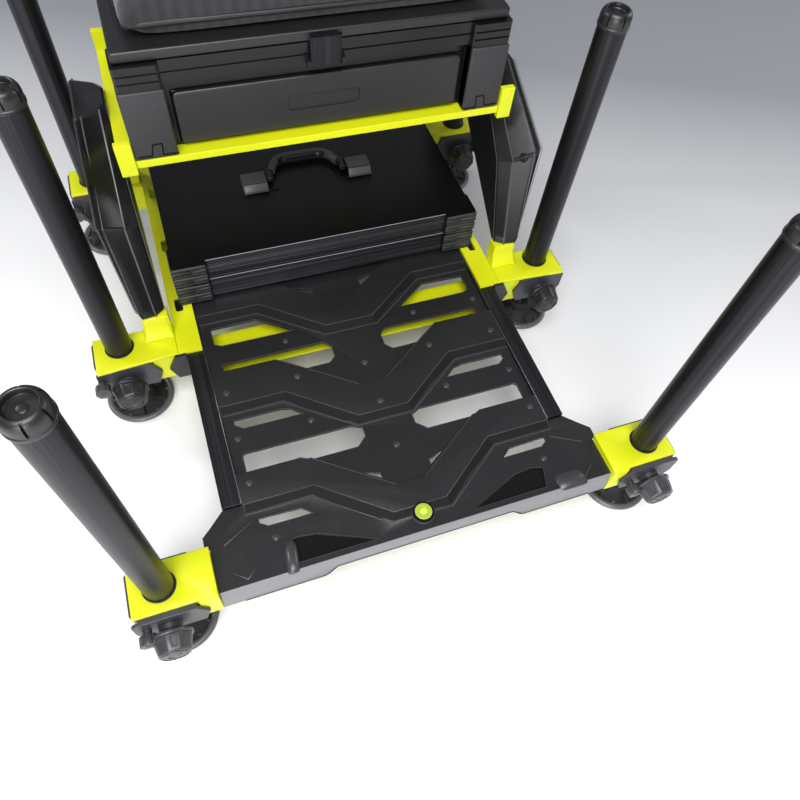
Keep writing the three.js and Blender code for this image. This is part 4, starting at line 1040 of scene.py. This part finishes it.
def lipEdges():
    # the lip's lower edge, round its notch, as a dark strip: painted shade
    lean = [(x, -373.5 - 6 * (plate["sheet"] - z) / 35 - 0.9, z) for x, z in plate["notch"]]
    return strip("lip_edge", lean, *plate["lipEdge"])


# rings round the vial: how far outside its rim, and how high above its top; the bubble and its line from the middle
vialRings = {"bezel": ((1.6, -3.5), (1.6, -0.6), (1, 0), (-0.4, 0.3), (-1, 0.1), (-1, -0.4)),
             "ring": ((-1.2, -0.2), (-1.2, 0.25), (-1.8, 0.5)), "ringInner": [(5.6, 0.5), (5.2, 0.3)],
             "bubble": [(4.6, -0.2), (4.6, 0.5), (3.6, 1), (1.6, 1.25), (0.4, 1.3)],
             "line": [(5.4, 0), (5.4, 0.55), (5.1, 0.7), (4.8, 0.55), (4.8, 0.3)]}


def levelRings():
    # a dark bezel, a tinted ring, the bubble and its line on top of the vial
    low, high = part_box("spirit_level")
    middle = moved((low[0] + high[0]) / 2 / mm, (low[1] + high[1]) / 2 / mm, high[2] / mm)
    radius = (high[0] - low[0]) / 2 / mm
    bezel = turned("level_bezel", [(radius + out, up) for out, up in vialRings["bezel"]])
    ring = turned("level_ring", [(radius + out, up) for out, up in vialRings["ring"]] + vialRings["ringInner"])
    bubble = turned("level_bubble", vialRings["bubble"], 48)
    line = turned("level_line", vialRings["line"], 48)
    return [relocated(part, middle) for part in (bezel, ring, bubble, line)]


def onPlate(piece, material=highlightNylon):
    settle(piece, bodyOf["footplate"], material)


# the plate's creases, rims, screws, humps and folds are drawn in the lighter nylon: painted highlights
onPlate(bandCreases())
onPlate(plateRims())
onPlate(joined([plateScrew(x, y) for y, places in plate["screws"].items() for x in places]))
onPlate(joined([frontHump(stations) for stations in plate["humps"]]))
onPlate(bandSlopes(), slopeShadeNylon)
onPlate(joined([pocketFloor(side) for side in (-1, 1)]), paintedShadeBlack)
onPlate(lipEdges(), paintedShadeBlack)
# a pale strip along the lip's top edge: painted highlight
onPlate(strip("lip_top", [(x, plate["lipFront"], plate["sheet"] + 0.1) for x in (-plate["lipHalf"], plate["lipHalf"])],
              *plate["lipTop"]), lipReflectionGrey)
for part, finish in zip(levelRings(), (paintedShadeBlack, vialGreen, vialYellow, vialGreen)):
    settle(part, bodyOf["spirit_level"], finish)
onPlate(lipStrip(), lipReflectionGrey)
onPlate(joined([strip("corner_fold", [(x, y + rowShift, plate["sheet"] + 0.2) for x, y in path], *plate["fold"])
                for path in plate["folds"]]))
runnerEdge = {"across": 215.4, "along": (-272.5, 60), "height": 120.7, "size": (1.0, 0.9, 0.3)}
for side, sign in sides.items():  # the bright edge of each runner, beside the footplate: a painted highlight
    ends = [(sign * runnerEdge["across"], y, runnerEdge["height"]) for y in runnerEdge["along"]]
    worn = strip("runner_edge", ends, *runnerEdge["size"])
    settle(worn, bodyOf[f"runner_{side}"], highlightAluminium)
flange = {"low": (-239, -46, 85.4), "high": (239, -24.6, 88), "round": 0.5}  # the mid crossbar's folded front lip
crossFlange = block("cross_flange", flange["low"], flange["high"], flange["round"])
settle(crossFlange, bodyOf["mid_crossbar"], finishes["lime_paint"])
print("footplate details")


# carry case: extruded profiles, castings and handle

case = {
    "front": 68.5, "face": 60.5, "outer": 232, "inner": 183, "low": 126.3, "split": 163.15, "high": 201,
    "profile": ((127, 129.4), (148.4, 149.4), (151.4, 152.4), (154.4, 155.4), (159.4, 162.4), (164.2, 167.2),
                (176.6, 177.6), (180, 181), (183.4, 184.4), (186.8, 187.8), (190.2, 191.2), (197.4, 200.8)),
    "lineRound": 0.4, "lineProud": 1.1, "edges": (162.1, 200.5),
    "ribs": ((127.6, 143.4), (145, 161.4), (164.8, 180.6), (182.2, 199.8)), "ribProud": 1.2, "round": 2.4,
    "grooves": (131.5, 138.5, 149, 156.5, 168.8, 176, 186.4, 193.6), "grooveDeep": 0.2, "notch": (203, 206)}


def profileLines(low, high):
    # the fine lines of one extruded profile, between its castings
    inner, front = case["inner"], case["front"]
    lines = [block("profile", (-inner, front - 0.3, low + 0.5), (inner, front + 1, high - 0.3))]
    for a, b in case["profile"]:
        if low < a < high:
            lines.append(block("profile_line", (-inner, front - case["lineProud"], a), (inner, front + 1, b),
                               case["lineRound"]))
    return joined(lines)


def castingRibs(low, high):
    # two rounded blocks round each casting's front corner, with fine grooves and an upright notch
    ribs = []
    inner, outer, face = case["inner"], case["outer"], case["face"]
    for a, b in case["ribs"]:
        if not low < a < high:
            continue
        rib = block("casting_rib", (inner + 1, face - case["ribProud"], a), (outer + 1.2, case["front"] + 33, b),
                    case["round"], 4)
        cutters = [block("groove", (inner - 5, face - 9, z - 0.5), (outer + 9, face - case["grooveDeep"], z + 0.5))
                   for z in case["grooves"] if a < z < b]
        left, right = case["notch"]
        cutters.append(block("notch", (left, face - 9, a + 3), (right, face - 0.1, b - 3)))
        for cutter in cutters:
            cutBy(rib, cutter)
        ribs.append(rib)
    rightRibs = joined(ribs)
    return joined([rightRibs, copied(rightRibs, "left_casting", mirrored(-1))])


for node, low, high in (("case_base", case["low"], case["split"]), ("case_lid", case["split"], case["high"])):
    settle(profileLines(low, high), bodyOf[node], tubeAlongX)
    # a pale line on the profile's edges: painted highlight
    for height in (z for z in case["edges"] if low < z < high):
        ends = [(x, case["front"] - 0.8, height) for x in (-case["inner"], case["inner"])]
        settle(strip("profile_edge", ends, 1, 1, 0.3), bodyOf[node], edgeHighlightAnodised)
    settle(castingRibs(low, high), bodyOf[node], castNylon)

unit = {"steps": ((-229, 381.4), (-213, 380.8), (-209.8, 395.6), (-199, 395.6), (-200.6, 380.8), (-183, 380.2)),
        "stepFace": 69.2, "across": (183, 233.2), "along": (69.4, 104), "height": (376.8, 460.6), "round": 2.4}
for sign in sides.values():  # a corner casting on the drawer unit, with a dark strip of painted shade along the stepped line of its lower edge
    stepLine = strip("stepped_line", [(-sign * x, z, 0) for x, z in unit["steps"]], 1.5, 1.1, 0.3)
    relocated(stepLine, moved(0, unit["stepFace"], 0) @ toFront)
    settle(stepLine, bodyOf["drawer_unit"], paintedShadeBlack)
    low, high = zip(sorted(sign * x for x in unit["across"]), unit["along"], unit["height"])
    settle(block("unit_casting", low, high, unit["round"], 4), bodyOf["drawer_unit"], castNylon)
print("case details")

handle = {"height": 210.4, "grip": 6.4, "path": ((-53, 216), (-46, 232), (-37, 241.5), (-26, 244.8), (26, 244.8),
                                                 (37, 241.5), (46, 232), (53, 216))}
# the grip drawn in the pale nylon: a painted highlight
settle(swept("handle_grip", handle["grip"], [(x, y, handle["height"]) for x, y in handle["path"]], 24),
       bodyOf["case_handle"], paleHighlightNylon)

# rings: height and half depth of a mount's cap; bead: the same for the line round it
mount = {"middle": 202.5, "across": (64.2, 100.5), "rings": ((203.1, 18.4), (212.4, 14.4), (215.6, 11.6)),
         "round": 0.9, "bead": (203.5, 19.4)}


def mountCorners(side, height, half):
    near, far = (side * x for x in mount["across"])
    return [(x, mount["middle"] + way * half, height) for x, way in ((near, -1), (far, -1), (far, 1), (near, 1))]


for side in (-1, 1):  # caps on the handle's mounts, with a bead round each, drawn pale as painted sheen
    mountCap = shaped("mount_cap", [mountCorners(side, *ring) for ring in mount["rings"]])
    applied(mountCap, "BEVEL", width=mount["round"] * mm, segments=3)
    smooth(mountCap)
    bead = strip("mount_bead", mountCorners(side, *mount["bead"]), 1.6, 1.2, 0.4)
    for piece in (mountCap, bead):
        settle(piece, bodyOf["case_lid"], sheenNylon)
print("handle")


# seat cushion

cushion = {"voxel": 5, "shrink": 2.5, "board": 4, "pressure": 4, "stiff": 12, "bend": 0.8, "frames": 20, "most": 9,
           "fill": 0.6, "pipe": 3, "pipeHigh": 15, "count": 240}


def cushionShape():
    # the CAD cushion as a closed skin; blown up as cloth, with a cap on how far it may swell
    piece = nodeCopy("seat_cushion", "cushion")
    bpy.ops.object.mode_set(mode="OBJECT")
    applied(piece, "REMESH", mode="VOXEL", voxel_size=cushion["voxel"] * mm, use_smooth_shade=True)
    applied(piece, "SMOOTH", factor=0.5, iterations=3)
    low = min(v.co.z for v in piece.data.vertices)
    rest = [v.co.copy() for v in piece.data.vertices]
    centre = sum(rest, Vector()) / len(rest)
    for vertex in piece.data.vertices:
        away = vertex.co - centre
        away.z = 0
        vertex.co -= away.normalized() * cushion["shrink"] * mm
    pinned = piece.vertex_groups.new(name="board")
    pinned.add([v.index for v in piece.data.vertices if v.co.z < low + cushion["board"] * mm], 1, "REPLACE")
    cloth = piece.modifiers.new("filling", "CLOTH")
    cloth.settings.quality = 5
    cloth.settings.mass = 0.3
    cloth.settings.tension_stiffness = cloth.settings.compression_stiffness = cushion["stiff"]
    cloth.settings.bending_stiffness = cushion["bend"]
    cloth.settings.use_pressure = True
    cloth.settings.uniform_pressure_force = cushion["pressure"]
    cloth.settings.effector_weights.gravity = 0
    cloth.settings.vertex_group_mass = "board"
    cloth.point_cache.frame_start, cloth.point_cache.frame_end = 1, cushion["frames"]
    for frameNumber in range(1, cushion["frames"] + 1):
        bpy.context.scene.frame_set(frameNumber)
    swollen = piece.evaluated_get(bpy.context.evaluated_depsgraph_get()).data
    places = [v.co.copy() for v in swollen.vertices]
    piece.modifiers.remove(cloth)
    bpy.context.scene.frame_set(1)
    for vertex, place, was in zip(piece.data.vertices, places, rest):
        step = place - was
        vertex.co = was + step * min(1, cushion["most"] * mm / max(step.length, 1e-9))
        vertex.co.z = max(vertex.co.z, low)
    applied(piece, "SUBSURF", levels=1)
    smooth(piece, 60)
    return piece


def piping(piece):
    # a welt round the seam, laid on the skin that it follows
    tree = BVHTree.FromPolygons([v.co for v in piece.data.vertices], [p.vertices for p in piece.data.polygons])
    low = min(v.co.z for v in piece.data.vertices)
    corners = [v.co for v in piece.data.vertices]
    centre = Vector(((min(c.x for c in corners) + max(c.x for c in corners)) / 2,
                     (min(c.y for c in corners) + max(c.y for c in corners)) / 2, low + cushion["pipeHigh"] * mm))
    welt = start("piping", "torus", major_segments=cushion["count"], minor_segments=12, major_radius=1,
                 minor_radius=0.1)
    seated(welt)
    for vertex in welt.data.vertices:
        turn = math.atan2(vertex.co.y, vertex.co.x)
        heading = Vector((math.cos(turn), math.sin(turn), 0))
        hit = tree.ray_cast(centre + heading * 0.6, -heading)[0]
        out = (math.hypot(vertex.co.x, vertex.co.y) - 1) * 10 * cushion["pipe"] * mm
        vertex.co = hit + heading * out + Vector((0, 0, vertex.co.z * 10 * cushion["pipe"] * mm))
    smooth(welt, 80)
    return welt


cushionPiece = cushionShape()
pipingPiece = piping(cushionPiece)
settle(cushionPiece, bodyOf["seat_cushion"], finishes["seat_fabric"], ("seat_cushion",))
settle(pipingPiece, bodyOf["seat_cushion"], pipingVinyl)
print("cushion")

for name, node in nodes.items():  # what stays as it is gets its finish
    node.data.materials.clear()
    node.data.materials.append(finishes[slotOf[name]])
